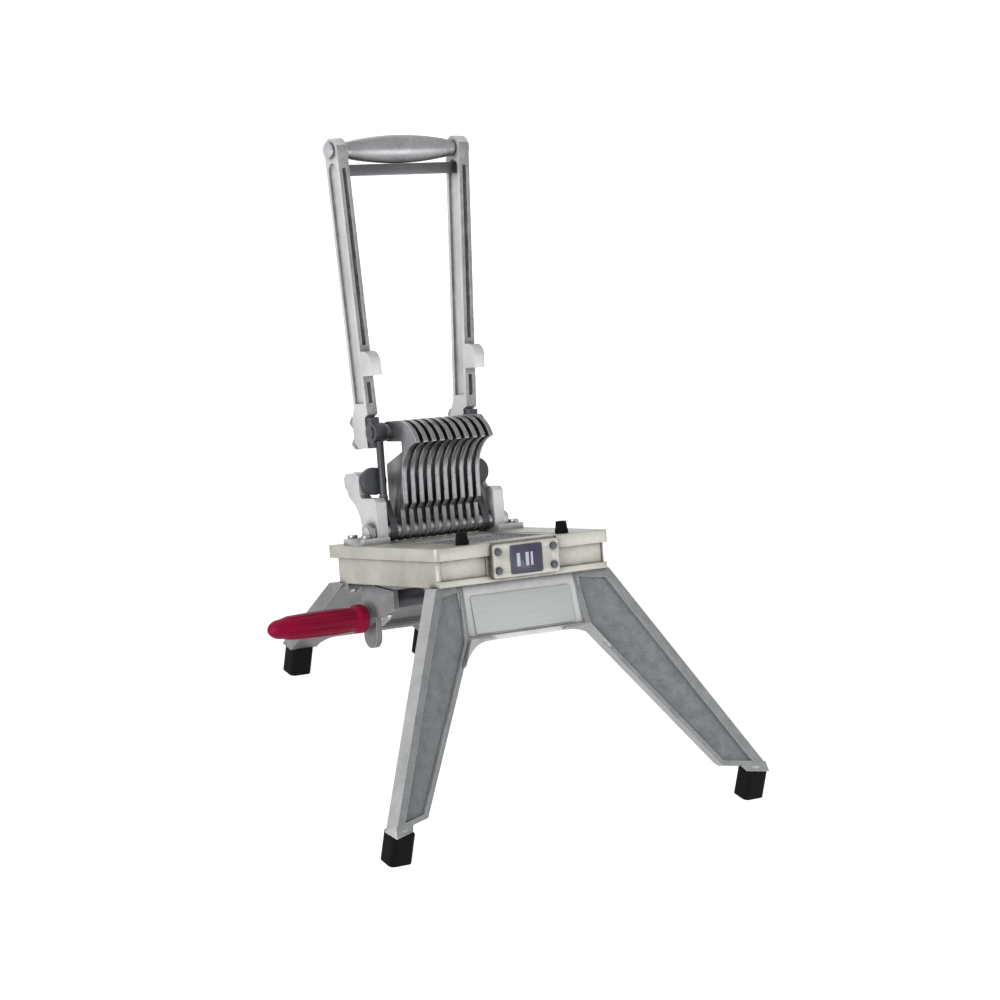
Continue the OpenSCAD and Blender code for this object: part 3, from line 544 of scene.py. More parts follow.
# Painted shade: a darker copy of the casting for the rear frame and the side bracket, under and behind
# the deck.
SHADED_REAR_CASTING = Finish("rear_casting", (0.13, 0.128, 0.135), (0.34, 0.335, 0.35), 0.52, 0.3,
                      bump=0.4, depth=0.0004, edge_wear_and_light_colour=(0.6, 0.6, 0.61), hollow_shade=1.0,
                      hollow_shade_colour=(0.02, 0.02, 0.022))
BARE_PLATE = Finish("plain_plate", (0.5, 0.525, 0.525), (0.6, 0.625, 0.625), 0.6, 0.1,
                    skin=Skin.LINES, across=(30.0, 2400.0, 2400.0), bump=0.1)
# Its bright edge colour is a painted highlight on the fins' edges, and its dark hollow colour painted
# shade in the gaps between them.
FIN_METAL = Finish("fin_casting", (0.1, 0.095, 0.1), (0.3, 0.29, 0.31), 0.34, 0.75,
                   bump=0.25, edge_wear_and_light_colour=(0.85, 0.85, 0.87), hollow_shade=0.9,
                   hollow_shade_colour=(0.02, 0.017, 0.015))
STEEL = Finish("turned_steel", (0.3, 0.3, 0.32), (0.5, 0.5, 0.52), 0.28, 0.95,
               skin=Skin.LINES, bump=0.15)
BOLT_STEEL = Finish("plated_bolts", (0.2, 0.2, 0.21), (0.38, 0.38, 0.39), 0.38, 0.9,
                    bump=0.1, edge_wear_and_light_colour=(0.6, 0.6, 0.6))
DARK_STEEL = Finish("blackened_steel", (0.035, 0.035, 0.042), (0.085, 0.085, 0.1), 0.42, 0.5,
                    edge_wear_and_light_colour=(0.28, 0.28, 0.3))
# Painted shade: near-black steel for the rail beneath the grip, where shade falls.
SHADED_RAIL_STEEL = Finish("grip_rail", (0.06, 0.06, 0.065), (0.14, 0.14, 0.15), 0.4, 0.6,
                    edge_wear_and_light_colour=(0.35, 0.35, 0.36))
BLADE_STEEL = Finish("ground_blades", (0.45, 0.46, 0.47), (0.7, 0.71, 0.72), 0.22, 1.0,
                     skin=Skin.LINES, across=(60.0, 60.0, 3000.0), bump=0.12)
RAIL_METAL = Finish("milled_rails", (0.36, 0.36, 0.37), (0.54, 0.54, 0.54), 0.35, 0.85,
                    skin=Skin.LINES, across=(60.0, 2600.0, 2600.0), bump=0.12,
                    edge_wear_and_light_colour=(0.75, 0.75, 0.76))
GRIP_METAL = Finish("polished_grip", (0.2, 0.2, 0.21), (0.38, 0.38, 0.39), 0.36, 0.8,
                    grain=300.0, mottle=24.0, bump=0.05)
RUBBER = Finish("moulded_rubber", (0.002, 0.002, 0.0025), (0.005, 0.005, 0.0055), 0.75,
                grain=1400.0, bump=0.3, depth=0.0001, specular=0.12)
STOP_RUBBER = Finish("grey_stop", (0.03, 0.034, 0.04), (0.07, 0.078, 0.09), 0.62,
                     grain=1200.0, bump=0.25)
RED_GRIP = Finish("red_grip", (0.19, 0.0, 0.018), (0.37, 0.0, 0.045), 0.5,
                  grain=1300.0, mottle=20.0, bump=0.12, depth=0.0001, specular=0.18)
INDEX_BLUE = Finish("index_plate", (0.045, 0.045, 0.085), (0.1, 0.095, 0.16), 0.35, bump=0.08)
INDEX_MARK = Finish("index_mark", (0.5, 0.5, 0.6), (0.7, 0.7, 0.8), 0.5, bump=0.05)


# Mesh helpers


def linked(name: str, data: bpy.types.ID) -> bpy.types.Object:
    """Makes an object of some data.

    Args:
        name: the object's name.
        data: its mesh, lamp or camera.

    Returns:
        The new object, linked to the scene.
    """
    made = bpy.data.objects.new(name, data)
    bpy.context.scene.collection.objects.link(made)
    return made


def object_from(name: str, mesh: bmesh.types.BMesh, smooth: bool = True) -> bpy.types.Object:
    """Makes an object of a bmesh and frees it.

    Args:
        name: the object's name.
        mesh: the bmesh, in scene metres.
        smooth: shades the faces smooth.

    Returns:
        The new object, linked to the scene.
    """
    data = bpy.data.meshes.new(name)
    mesh.to_mesh(data)
    mesh.free()
    for face in data.polygons:
        face.use_smooth = smooth
    return linked(name, data)


@contextmanager
def editing(piece: bpy.types.Object) -> Iterator[bmesh.types.BMesh]:
    """Opens the mesh of a piece for changes and writes it back.

    Args:
        piece: the object to change.

    Yields:
        The mesh, in scene metres.
    """
    work = bmesh.new()
    work.from_mesh(piece.data)
    yield work
    work.to_mesh(piece.data)
    work.free()


def box_of(places: Iterable[Vector]) -> tuple[Vector, Vector]:
    """Finds the box round some places.

    Args:
        places: the places.

    Returns:
        The box's low and high corners.
    """
    rows = list(zip(*places))
    return Vector([min(row) for row in rows]), Vector([max(row) for row in rows])


def settle(piece: bpy.types.Object) -> None:
    """Applies the modifiers of a piece, which becomes a plain mesh.

    Args:
        piece: the object with its modifiers.
    """
    graph = bpy.context.evaluated_depsgraph_get()
    mesh = bpy.data.meshes.new_from_object(piece.evaluated_get(graph))
    piece.modifiers.clear()
    old = piece.data
    piece.data = mesh
    mesh.name = piece.name
    bpy.data.meshes.remove(old)


def smooth_by_angle(piece: bpy.types.Object, degrees: float = CREASE_ANGLE) -> None:
    """Marks the edges sharper than an angle, and shades the rest smooth.

    Args:
        piece: the object to shade.
        degrees: the angle from which an edge stays sharp.
    """
    limit = math.radians(degrees)
    with editing(piece) as work:
        for edge in work.edges:
            edge.smooth = not (len(edge.link_faces) == 2 and edge.calc_face_angle(0.0) > limit)
        for face in work.faces:
            face.smooth = True


def rounded(piece: bpy.types.Object, width: float, segments: int = 2) -> bpy.types.Object:
    """Rounds the sharp edges of a piece.

    Args:
        piece: the object.
        width: width of the round, in millimetres.
        segments: faces across the round.

    Returns:
        The same object as a plain mesh.
    """
    bevel = piece.modifiers.new("round", "BEVEL")
    bevel.width = width * MM
    bevel.segments = segments
    bevel.limit_method = "ANGLE"
    bevel.angle_limit = math.radians(ROUND_ANGLE)
    settle(piece)
    smooth_by_angle(piece)
    return piece


def copy_of(node: str, name: str) -> bpy.types.Object:
    """Copies a CAD node as a merged mesh with its flat faces joined.

    Args:
        node: the CAD node.
        name: the copy's name.

    Returns:
        The copy.
    """
    work = bmesh.new()
    work.from_mesh(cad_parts[node].data)
    bmesh.ops.remove_doubles(work, verts=work.verts, dist=MERGE_WIDTH * MM)
    bmesh.ops.dissolve_limit(work, angle_limit=math.radians(FLAT_ANGLE), verts=work.verts,
                             edges=work.edges, use_dissolve_boundaries=False)
    return object_from(name, work)


def ring_profile(name: str, points: list[Pair], turns: int, place: Matrix) -> bpy.types.Object:
    """Turns a profile round an axis.

    Args:
        name: the object's name.
        points: radius and height along the axis, in millimetres, both ends on the axis.
        turns: faces round the axis.
        place: matrix that takes the local millimetres to the scene.

    Returns:
        The closed turned piece.
    """
    work = bmesh.new()
    rings: list[list[bmesh.types.BMVert]] = []
    for radius, height in points:
        angles = [2 * math.pi * k / turns for k in range(turns)] if radius > 0.0 else [0.0]
        rings.append([
            work.verts.new((radius * math.cos(angle), radius * math.sin(angle), height))
            for angle in angles
        ])
    for low, high in zip(rings, rings[1:]):
        for k in range(turns):
            n = (k + 1) % turns
            corners = (low[k % len(low)], low[n % len(low)],
                       high[n % len(high)], high[k % len(high)])
            work.faces.new(tuple(dict.fromkeys(corners)))
    bmesh.ops.recalc_face_normals(work, faces=work.faces)
    bmesh.ops.transform(work, matrix=place, verts=work.verts)
    return object_from(name, work)


# Dressing


def dress(piece: bpy.types.Object, finish: Finish, slot: str, body: Body,
          *nodes: str) -> bpy.types.Object:
    """Gives a piece its material and its body, and hides the nodes that it stands for.

    Args:
        piece: the finished object.
        finish: its finish.
        slot: a material slot's name; not used.
        body: the body that it rides on.
        nodes: the CAD nodes that it replaces.

    Returns:
        The piece.
    """
    if not piece.data.materials:
        piece.data.materials.append(finish.build())
    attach(piece, body.value)
    if nodes:
        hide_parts(*nodes)
    LOG.info("%s: %d faces, %s", piece.name, len(piece.data.polygons), finish.name)
    return piece


def repaint(node: str, finish: Finish) -> None:
    """Gives a CAD node that keeps its own shape its finish.

    Args:
        node: the CAD node.
        finish: the finish.
    """
    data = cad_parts[node].data
    data.materials.clear()
    data.materials.append(finish.build())
    LOG.info("%s keeps its shape, %s", node, finish.name)


def soften(node: str, finish: Finish, slot: str, body: Body, width: float,
           segments: int = 2) -> bpy.types.Object:
    """Replaces a CAD node by its copy with rounded edges.

    Args:
        node: the CAD node.
        finish: its finish.
        slot: a material slot's name, passed on to dress, which doesn't use it.
        body: the body that it rides on.
        width: width of the rounds, in millimetres.
        segments: faces across a round.

    Returns:
        The new piece.
    """
    piece = rounded(copy_of(node, f"{node}_cast"), width, segments)
    return dress(piece, finish, slot, body, node)


def paint_faces(piece: bpy.types.Object, finish: Finish,
                chosen: Callable[[bpy.types.MeshPolygon], bool]) -> None:
    """Gives some faces of a dressed piece a further finish.

    Args:
        piece: the piece.
        finish: the further finish.
        chosen: says of a face whether it gets the finish.
    """
    finishes = piece.data.materials
    if finishes.find(finish.name) < 0:
        finishes.append(finish.build())
    place = finishes.find(finish.name)
    for face in piece.data.polygons:
        if chosen(face):
            face.material_index = place


class RowTree(NodeMaker):
    """A Geometry Nodes tree that repeats one piece at the slice width."""

    inputs: dict[str, str] = {
        "Geometry": "NodeSocketGeometry",
        "Piece": "NodeSocketObject",
        "Count": "NodeSocketInt",
        "Step": "NodeSocketVector",
        "Finish": "NodeSocketMaterial",
    }

    def __init__(self, name: str) -> None:
        """Builds the tree.

        Args:
            name: the tree's name.
        """
        super().__init__(bpy.data.node_groups.new(name, "GeometryNodeTree"))
        face = self.tree.interface
        self.keys = {
            label: face.new_socket(label, in_out="INPUT", socket_type=kind).identifier
            for label, kind in self.inputs.items()
        }
        face.new_socket("Geometry", in_out="OUTPUT", socket_type="NodeSocketGeometry")
        given = self.add("NodeGroupInput").outputs
        line = self.add("GeometryNodeMeshLine", mode="OFFSET")
        fetch = self.add("GeometryNodeObjectInfo")
        place = self.add("GeometryNodeInstanceOnPoints")
        real = self.add("GeometryNodeRealizeInstances")
        paint = self.add("GeometryNodeSetMaterial")
        for value, node, label in (
            (given["Count"], line, "Count"),
            (given["Step"], line, "Offset"),
            (given["Piece"], fetch, "Object"),
            (line.outputs["Mesh"], place, "Points"),
            (fetch.outputs["Geometry"], place, "Instance"),
            (place.outputs["Instances"], real, "Geometry"),
            (real.outputs["Geometry"], paint, "Geometry"),
            (given["Finish"], paint, "Material"),
            (paint.outputs["Geometry"], self.add("NodeGroupOutput"), "Geometry"),
        ):
            self.feed(node.inputs[label], value)

    def repeat(self, piece: bpy.types.Object, name: str, count: int,
               finish: Finish) -> bpy.types.Object:
        """Repeats a piece and removes the single one.

        Args:
            piece: the first piece of the row, in its own place.
            name: the row's name.
            count: how many pieces the row has.
            finish: the row's finish.

        Returns:
            The row as a plain mesh.
        """
        row = linked(name, bpy.data.meshes.new(name))
        modifier = row.modifiers.new("row", "NODES")
        modifier.node_group = self.tree
        step = (PITCH * MM, 0.0, 0.0)
        for label, value in (("Piece", piece), ("Count", count), ("Step", step),
                             ("Finish", finish.build())):
            modifier[self.keys[label]] = value
        settle(row)
        bpy.data.objects.remove(piece)
        return row


ROWS = RowTree("repeat_in_a_row")


def numbered(stem: str, count: int) -> list[str]:
    """Returns the names of the CAD nodes of a row, which count from 01."""
    return [f"{stem}_{k:02d}" for k in range(1, count + 1)]


# Sub-assemblies


@dataclass(frozen=True)
class Castings:
    """The deck, the two leg frames, the plate and the front block, in millimetres.

    Each pair of index_bars is a bar's start and width, as shares of the index plate's width.
    """

    edge: float = 0.9
    block_edge: float = 0.8
    plate_edge: float = 0.25
    leg_x: float = 70.0
    front_y: float = -0.5
    front_z: float = 0.1
    panel_z: Pair = (60.0, 160.0)
    panel_turn: float = 0.999
    panel_depth: float = 0.4
    apron_half: float = 62.0
    apron_turn: float = 0.9
    arch_corner: Triple = (68.0, -105.4, 146.0)
    arch_heel: Triple = (169.0, -215.5, 34.0)
    arch_web: float = 29.0
    arch_sunk: float = 0.8
    arch_root: float = 1.0
    arch_steps: int = 12
    arch_depth: Pair = (0.9, 6.0)
    index_bars: tuple[Pair, ...] = ((0.18, 0.1), (0.46, 0.1), (0.62, 0.07))
    bar_ends: Pair = (0.25, 0.72)
    bar_t: float = 0.5

    def panel_of(self, legs: bpy.types.Object, side: int) -> tuple[Vector, Vector]:
        """Finds the floor of one front leg's sunk panel, its largest face to the front.

        Args:
            legs: the front leg frame.
            side: -1 for the left leg, 1 for the right one.

        Returns:
            The floor's centre and normal.
        """
        low, high = self.panel_z
        floor = max(
            (face for face in legs.data.polygons
             if face.center.x * side > self.leg_x * MM and low * MM < face.center.z < high * MM
             and face.normal.y < self.front_y and face.normal.z > self.front_z),
            key=lambda face: face.area,
        )
        return floor.center.copy(), floor.normal.copy()

    def darken_leg(self, legs: bpy.types.Object, side: int) -> None:
        """Gives the forward faces of one leg two darker finishes, painted shade, and the apron's front
        the brighter casting, painted light.

        Args:
            legs: the front leg frame.
            side: -1 for the left leg, 1 for the right one.
        """
        centre, normal = self.panel_of(legs, side)

        def on_rim(face: bpy.types.MeshPolygon) -> bool:
            """Says whether a face of this leg looks the same way as the panel."""
            return face.center.x * side > 0.0 and face.normal.dot(normal) > self.panel_turn

        def on_panel(face: bpy.types.MeshPolygon) -> bool:
            """Says whether such a face is also as deep as the panel."""
            return on_rim(face) and abs((face.center - centre).dot(normal)) < self.panel_depth * MM

        def on_apron(face: bpy.types.MeshPolygon) -> bool:
            """Says whether a face belongs to the front of the apron."""
            return (abs(face.center.x) < self.apron_half * MM
                    and face.normal.dot(normal) > self.apron_turn)

        # Painted shade on the legs' forward faces and sunk panels, painted light on the apron's front.
        paint_faces(legs, LEG_FRONT_SHADE, on_rim)
        paint_faces(legs, SHADED_LEG_PANEL, on_panel)
        paint_faces(legs, LIT_CASTING, on_apron)

    def round_arch(self, legs: bpy.types.Object, side: int) -> None:
        """Fills the corner between the apron's lip and one front leg with a curved web.

        Args:
            legs: the front leg frame.
            side: -1 for the left leg, 1 for the right one.
        """
        corner, heel = (Vector((x * side, y, z)) * MM
                        for x, y, z in (self.arch_corner, self.arch_heel))
        inward = Vector((-side, 0.0, 0.0))
        down = (heel - corner).normalized()
        back = inward.cross(down).normalized() * side
        rise = (down - inward * down.dot(inward)).normalized()
        sink = (inward - down * down.dot(inward)).normalized()
        bend = corner - (rise + sink) * (self.arch_sunk * MM / (1.0 + rise.dot(sink)))
        near, far = (bend + way * self.arch_web * MM for way in (inward, down))
        outline = [bend - (inward + down) * self.arch_root * MM]
        for step in range(self.arch_steps + 1):
            t = step / self.arch_steps
            outline.append(near * (1 - t) ** 2 + bend * (2 * t * (1 - t)) + far * t ** 2)
        with editing(legs) as work:
            rows = [[work.verts.new(place + back * depth * MM) for place in outline]
                    for depth in self.arch_depth]
            made = [work.faces.new(row) for row in rows]
            for k in range(len(outline)):
                n = (k + 1) % len(outline)
                made.append(work.faces.new((rows[0][k], rows[0][n], rows[1][n], rows[1][k])))
            bmesh.ops.recalc_face_normals(work, faces=made)

    def mark_index(self) -> None:
        """Makes the index plate with three plain bars on its front."""
        plate = copy_of("index_plate", "index_plate_marked")
        low, high = box_of(TO_DECK @ vert.co for vert in plate.data.vertices)
        width, _, height = high - low
        bottom, top = self.bar_ends
        with editing(plate) as work:
            for start, share in self.index_bars:
                verts = bmesh.ops.create_cube(work, size=1.0)["verts"]
                size = Matrix.Diagonal((width * share, self.bar_t, height * (top - bottom), 1.0))
                place = Matrix.Translation((low.x + width * (start + share / 2), low.y,
                                            low.z + height * (bottom + top) / 2))
                bmesh.ops.transform(work, matrix=FROM_DECK @ place @ size, verts=verts)
                for face in {face for vert in verts for face in vert.link_faces}:
                    face.material_index = 1
        for finish in (INDEX_BLUE, INDEX_MARK):
            plate.data.materials.append(finish.build())
        dress(plate, INDEX_BLUE, "blue_plate", Body.BASE, "index_plate")

    def build(self) -> None:
        """Dresses the big castings; the webs come after the legs' finishes and stay plain."""
        soften("deck_frame", DECK_METAL, "deck_cast", Body.BASE, self.edge)
        legs = soften("front_leg_frame", CASTING, "frame_cast", Body.BASE, self.edge)
        for side in SIDES:
            self.darken_leg(legs, side)
        for side in SIDES:
            self.round_arch(legs, side)
        # The rear frame gets the darker casting, which is painted shade.
        soften("rear_leg_frame", SHADED_REAR_CASTING, "frame_cast", Body.BASE, self.edge)
        soften("front_block", DECK_METAL, "deck_cast", Body.BASE, self.block_edge)
        soften("name_plate", BARE_PLATE, "bare_plate", Body.BASE, self.plate_edge)
        self.mark_index()


@dataclass(frozen=True)
class Feet:
    """The four moulded rubber boots, in millimetres."""

    radius: float = 5.0
    segments: int = 5
    profile: float = 0.5
    corner_share: float = 0.4
    upright_share: float = 0.5
    sole: float = 0.5

    def round_outside(self, boot: bpy.types.Object) -> None:
        """Rounds the upright corners and the bottom edges on the outside of a boot.

        Args:
            boot: the boot.
        """
        with editing(boot) as work:
            low, high = box_of(vert.co for vert in work.verts)
            size, middle = high - low, (low + high) / 2
            edges = []
            for edge in work.edges:
                ends = [vert.co for vert in edge.verts]
                corner = all(abs(end[k] - middle[k]) > self.corner_share * size[k]
                             for end in ends for k in (0, 1))
                upright = abs(ends[0].z - ends[1].z) > self.upright_share * size.z
                bottom = all(end.z < low.z + self.sole * MM for end in ends)
                if (corner and upright) or bottom:
                    edges.append(edge)
            bmesh.ops.bevel(work, geom=edges, offset=self.radius * MM, segments=self.segments,
                            profile=self.profile, affect="EDGES", clamp_overlap=True)
        smooth_by_angle(boot)

    def build(self) -> None:
        """Makes a boot in place of each CAD foot."""
        for end in ("front", "rear"):
            for side in ("left", "right"):
                node = f"foot_{end}_{side}"
                boot = copy_of(node, f"{node}_cast")
                self.round_outside(boot)
                dress(boot, RUBBER, "foot_rubber", Body.BASE, node)


@dataclass(frozen=True)
class Cartridge:
    """The blade rails, the eleven blades and the lock rods, in millimetres and degrees."""

    blades: int = 11
    side_edge: float = 0.4
    blade_crease: float = 30.0

    def build(self) -> None:
        """Dresses the rails and repeats one blade."""
        for node in ("cartridge_front_rail", "cartridge_rear_rail"):
            repaint(node, RAIL_METAL)
        for node in ("cartridge_side_left", "cartridge_side_right"):
            soften(node, RAIL_METAL, "cartridge_cast", Body.BASE, self.side_edge)
        repaint("blade_rods", STEEL)
        first = copy_of("blade_01", "first_blade")
        row = ROWS.repeat(first, "blade_row", self.blades, BLADE_STEEL)
        smooth_by_angle(row, self.blade_crease)
        dress(row, BLADE_STEEL, "blade_steel", Body.BASE, *numbered("blade", self.blades))


@dataclass(frozen=True)
class PivotStands:
    """The posts, the pivot shaft, the rubber stops and all base screws, in millimetres."""

    post_edge: float = 0.8
    stop_edge: float = 1.0
    bumper_edge: float = 0.8
    rubber_segments: int = 3
    bolt_edge: float = 0.35
    block_screw_u: float = 6.0
    block_screw_v: float = -36.0

    def on_block(self, face: bpy.types.MeshPolygon) -> bool:
        """Says whether a face of the screws belongs to a screw of the front block."""
        place = TO_DECK @ face.center
        return place.y < self.block_screw_u and place.z > self.block_screw_v

    def build(self) -> None:
        """Dresses the stands behind the blades."""
        for side in ("left", "right"):
            # The posts get the brighter casting, which is painted light.
            soften(f"post_{side}", LIT_CASTING, "frame_cast", Body.BASE, self.post_edge)
            soften(f"stop_bumper_{side}", STOP_RUBBER, "stop_rubber", Body.BASE, self.stop_edge,
                   self.rubber_segments)
            soften(f"deck_bumper_{side}", RUBBER, "bumper_rubber", Body.BASE, self.bumper_edge,
                   self.rubber_segments)
        for node in ("pivot_nuts", "stop_bolts"):
            soften(node, BOLT_STEEL, "bolt_steel", Body.BASE, self.bolt_edge)
        screws = soften("frame_screws", BOLT_STEEL, "bolt_steel", Body.BASE, self.bolt_edge)
        paint_faces(screws, DARK_STEEL, self.on_block)
        repaint("pivot_shaft", STEEL)


@dataclass(frozen=True)
class SideGrip:
    """The red side grip with its bracket, stud, nuts and bar, in millimetres.

    Each pair of hollows is a depth below the radius and a distance from the root.
    """

    root_x: float = -98.0
    grip_u: float = 140.0
    grip_v: float = -70.0
    length: float = 106.0
    radius: float = 14.0
    facets: int = 120
    hollows: tuple[Pair, ...] = (
        (2.5, 0.0), (0.6, 0.8), (0.0, 3.0), (0.0, 8.5), (1.0, 10.5), (2.4, 12.5),
        (2.2, 16.0), (1.4, 28.0), (1.2, 45.0), (1.6, 64.0), (2.4, 84.0),
    )
    tip_radius: float = 9.5
    tip_length: float = 14.0
    tip_steps: int = 8
    grooves: int = 10
    groove_depth: float = 1.3
    groove_power: int = 3
    groove_start: float = 14.0
    groove_rise: float = 8.0
    groove_fall: float = 12.0
    core: float = 1.0
    bracket_edge: float = 0.8
    nut_edge: float = 0.4
    bar_edge: float = 1.0

    def profile(self) -> list[Pair]:
        """Works out the grip's outline.

        Returns:
            Radius and distance from the root, point by point, with both ends on the axis.
        """
        points = [(0.0, 0.0)]
        points += [(self.radius - hollow, along) for hollow, along in self.hollows]
        for k in range(self.tip_steps):
            angle = math.radians(90.0 * k / self.tip_steps)
            along = self.length - self.tip_length + self.tip_length * math.sin(angle)
            points.append((self.tip_radius * math.cos(angle), along))
        points.append((0.0, self.length))
        return points

    def grooved(self, local: Vector) -> Vector:
        """Sinks a place on the plain grip into the groove that it lies in.

        Args:
            local: the place, with the grip's axis along Z.

        Returns:
            The sunk place.
        """
        radius = math.hypot(local.x, local.y)
        if radius <= self.core:
            return local
        rise = (local.z - self.groove_start) / self.groove_rise
        fall = (self.length - self.groove_fall - local.z) / self.groove_fall
        hold = max(0.0, min(1.0, rise, fall))
        wave = max(0.0, math.cos(self.grooves * math.atan2(local.y, local.x)))
        sunk = 1.0 - self.groove_depth * hold * wave ** self.groove_power / radius
        return Vector((local.x * sunk, local.y * sunk, local.z))

    def build(self) -> None:
        """Makes the grooved grip and dresses the rest."""
        turn = Matrix.Rotation(math.radians(-90.0), 4, "Y")
        place = FROM_DECK @ Matrix.Translation((self.root_x, self.grip_u, self.grip_v)) @ turn
        back = place.inverted()
        grip = ring_profile("side_grip_moulded", self.profile(), self.facets, place)
        with editing(grip) as work:
            for vert in work.verts:
                vert.co = place @ self.grooved(back @ vert.co)
        dress(grip, RED_GRIP, "red_plastic", Body.BASE, "side_grip")
        # The bracket gets the darker casting, which is painted shade.
        soften("side_bracket", SHADED_REAR_CASTING, "frame_cast", Body.BASE, self.bracket_edge)
        soften("grip_nuts", BOLT_STEEL, "bolt_steel", Body.BASE, self.nut_edge)
        soften("clamp_bar", DARK_STEEL, "dark_steel", Body.BASE, self.bar_edge)
        repaint("grip_stud", STEEL)


@dataclass(frozen=True)
class Lever:
    """The arms, the cross grip, the side bars and the comb of fins, in millimetres."""

    fins: int = 10
    fin_edge: float = 0.6
    arm_edge: float = 0.8
    bar_edge: float = 0.4
    grip_edge: float = 0.6
    bolt_edge: float = 0.5
    arm_front_u: float = 158.0
    front_turn: float = 0.9
    rail_drop: float = 17.0

    def on_arm_front(self, face: bpy.types.MeshPolygon) -> bool:
        """Says whether a face of an arm belongs to its front above the lug, which gets painted shade.
        """
        ahead = -FROM_DECK.col[1].to_3d().normalized()
        return face.normal.dot(ahead) > self.front_turn and (TO_DECK @ face.center).y > self.arm_front_u

    def build(self) -> None:
        """Dresses the lever."""
        for side in ("left", "right"):
            # Painted light and shade: the arms get the brighter casting, and their front faces the
            # darker copy.
            arm = soften(f"arm_{side}", LIT_CASTING, "frame_cast", Body.LEVER, self.arm_edge)
            # Painted shade on the arms' front faces.
            paint_faces(arm, SHADED_ARM_FRONT, self.on_arm_front)
            soften(f"side_bar_{side}", DARK_STEEL, "dark_steel", Body.LEVER, self.bar_edge)
        soften("cross_grip", GRIP_METAL, "polished_cast", Body.LEVER, self.grip_edge)
        soften("arm_bolts", BOLT_STEEL, "bolt_steel", Body.LEVER, self.bolt_edge)
        repaint("top_shaft", DARK_STEEL)
        rod = soften("grip_rod", STEEL, "shaft_steel", Body.LEVER, self.bolt_edge)
        # Painted shade: the grip rod's faces below the grip get the near-black rail finish.
        rail_z = max(vert.co.z for vert in rod.data.vertices) - self.rail_drop * MM
        paint_faces(rod, SHADED_RAIL_STEEL, lambda face: face.center.z < rail_z)
        repaint("fin_spacers", BOLT_STEEL)
        first = rounded(copy_of("fin_01", "first_fin"), self.fin_edge)
        row = ROWS.repeat(first, "fin_comb", self.fins, FIN_METAL)
        smooth_by_angle(row)
        dress(row, FIN_METAL, "fin_cast", Body.LEVER, *numbered("fin", self.fins))


# Studio


@dataclass(frozen=True)
class Lamp:
    """A soft square lamp that looks at the tool, in metres and watts."""

    name: str
    place: Triple
    size: float
    power: float
    target: Triple = (0.0, 0.0, 0.2)

    def build(self) -> None:
        """Hangs the lamp."""
        light = bpy.data.lights.new(self.name, "AREA")
        light.size = self.size
        light.energy = self.power
        holder = linked(self.name, light)
        holder.location = self.place
        holder.rotation_mode = "QUATERNION"
        aim = Vector(self.target) - Vector(self.place)
        holder.rotation_quaternion = aim.to_track_quat("-Z", "Y")


@dataclass(frozen=True)
class Camera:
    """The place of the photograph's camera, in degrees and millimetres."""

    azimuth: float = 36.4
    elevation: float = 19.6
    roll: float = 7.7
    distance: float = 2805.9
    target: Triple = (25.7, 5.574, 239.5)
    lens: float = 104.02
    sensor: float = 36.0
    sight: float = 100000.0

    def build(self) -> None:
        """Sets the camera."""
        az, el, roll = (math.radians(a) for a in (self.azimuth, self.elevation, self.roll))
        ahead = Vector((math.sin(az) * math.cos(el), math.cos(az) * math.cos(el), -math.sin(el)))
        right = ahead.cross(Vector((0.0, 0.0, 1.0))).normalized()
        up = right.cross(ahead)
        side = right * math.cos(roll) + up * math.sin(roll)
        top = up * math.cos(roll) - right * math.sin(roll)
        data = bpy.data.cameras.new("photo_camera")
        data.lens = self.lens
        data.sensor_width = self.sensor
        data.clip_end = self.sight * MM
        holder = linked("photo_camera", data)
        holder.location = (Vector(self.target) - ahead * self.distance) * MM
        holder.rotation_mode = "QUATERNION"
        holder.rotation_quaternion = Matrix((side, top, -ahead)).transposed().to_quaternion()
        bpy.context.scene.camera = holder


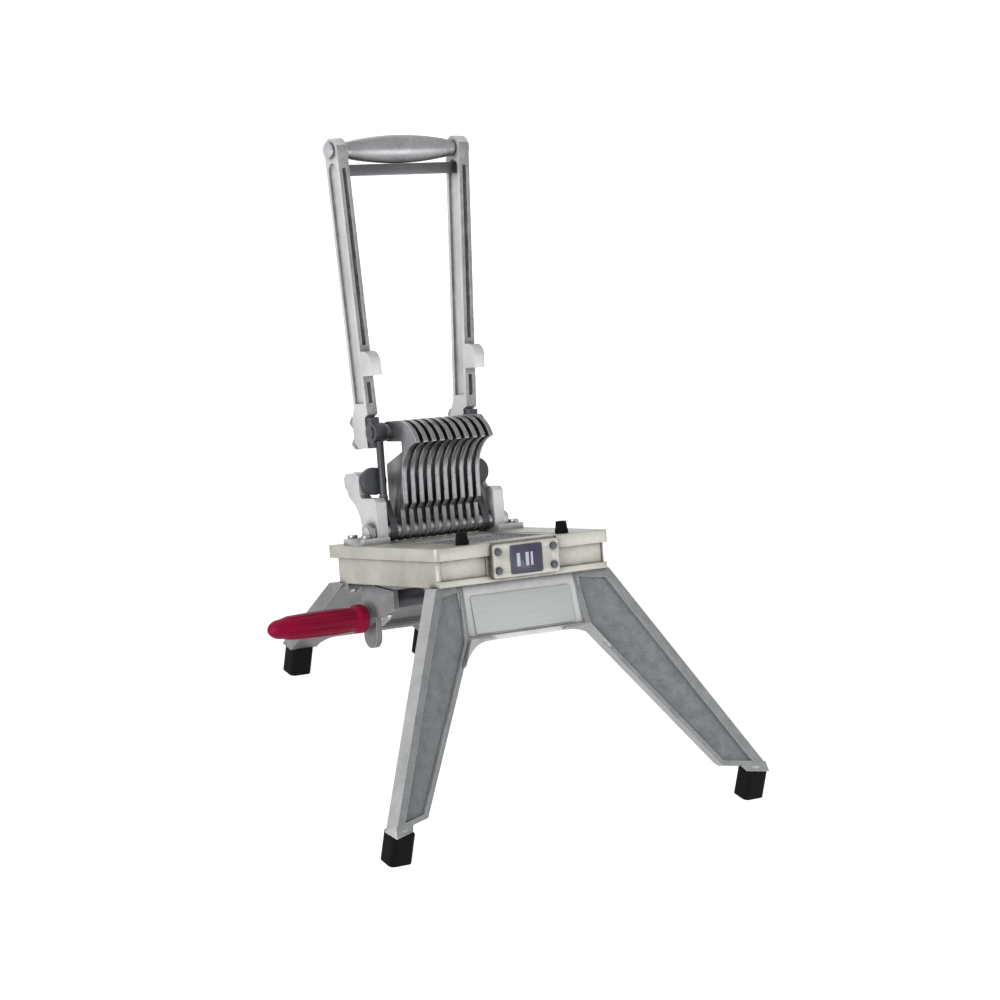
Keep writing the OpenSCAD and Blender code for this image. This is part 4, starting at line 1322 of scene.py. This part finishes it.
@dataclass(frozen=True)
class Studio:
    """The pale floor, the even sky, the lamps and the camera, in metres."""

    floor_half: float = 30.0
    floor_tone: Colour = (0.8, 0.8, 0.8)
    floor_rough: float = 0.9
    floor_glow: Pair = (0.75, 1.0)
    glow_reach: Pair = (0.3, 1.5)
    sky: float = 0.28
    lamps: tuple[Lamp, ...] = (
        Lamp("key_lamp", (-2.5, -0.9, 1.05), 1.4, 46.0),
        Lamp("fill_lamp", (0.75, -1.15, 0.36), 0.7, 5.6),
        Lamp("back_lamp", (0.4, 2.2, 1.6), 1.4, 9.0),
    )

    def seen(self, maker: NodeMaker) -> Socket:
        """Tells what the camera and reflections see from what lights the tool.

        Args:
            maker: adds nodes to the floor's or the sky's tree.

        Returns:
            A socket that is one for the camera and for reflections, else nought.
        """
        path = maker.add("ShaderNodeLightPath")
        total = path.outputs["Is Camera Ray"]
        for ray in ("Is Glossy Ray", "Is Transmission Ray"):
            total = maker.reckon("ADD", total, path.outputs[ray], clamp=True)
        return total

    def floor(self) -> None:
        """Lays the white floor under the feet; it glows for the camera, never on the tool."""
        work = bmesh.new()
        bmesh.ops.create_grid(work, x_segments=1, y_segments=1, size=self.floor_half)
        plane = object_from("studio_floor", work, smooth=False)
        paint = bpy.data.materials.new("white_floor")
        paint.use_nodes = True
        maker = NodeMaker(paint.node_tree)
        place = maker.add("ShaderNodeTexCoord")
        reach = maker.add("ShaderNodeVectorMath", operation="LENGTH")
        maker.feed(reach.inputs[0], place.outputs["Object"])
        glow = maker.spread(reach.outputs["Value"], self.glow_reach, self.floor_glow, "SMOOTHSTEP")
        shader = paint.node_tree.nodes["Principled BSDF"]
        for label, value in (
            ("Base Color", opaque(self.floor_tone)),
            ("Roughness", self.floor_rough),
            ("Specular IOR Level", 0.0),
            ("Emission Color", WHITE),
            ("Emission Strength", maker.reckon("MULTIPLY", glow, self.seen(maker))),
        ):
            maker.feed(shader.inputs[label], value)
        plane.data.materials.append(paint)

    def world(self) -> None:
        """Sets an even sky that is seen as white and lights softly."""
        sky = bpy.data.worlds.new("pale_studio")
        sky.use_nodes = True
        bpy.context.scene.world = sky
        maker = NodeMaker(sky.node_tree)
        glow = sky.node_tree.nodes["Background"]
        maker.feed(glow.inputs["Color"], WHITE)
        strength = maker.spread(self.seen(maker), (0.0, 1.0), (self.sky, 1.0))
        maker.feed(glow.inputs["Strength"], strength)

    def build(self) -> None:
        """Sets up the studio."""
        self.floor()
        self.world()
        for lamp in self.lamps:
            lamp.build()
        Camera().build()
        bpy.context.scene.view_settings.view_transform = "Standard"


def main() -> None:
    """Builds the studio and dresses each sub-assembly in turn."""
    logging.basicConfig(level=logging.INFO, format="%(name)s %(message)s")
    Studio().build()
    for part in (Castings(), Feet(), Cartridge(), PivotStands(), SideGrip(), Lever()):
        LOG.info("building %s", type(part).__name__)
        part.build()


if __name__ == "__main__":
    main()
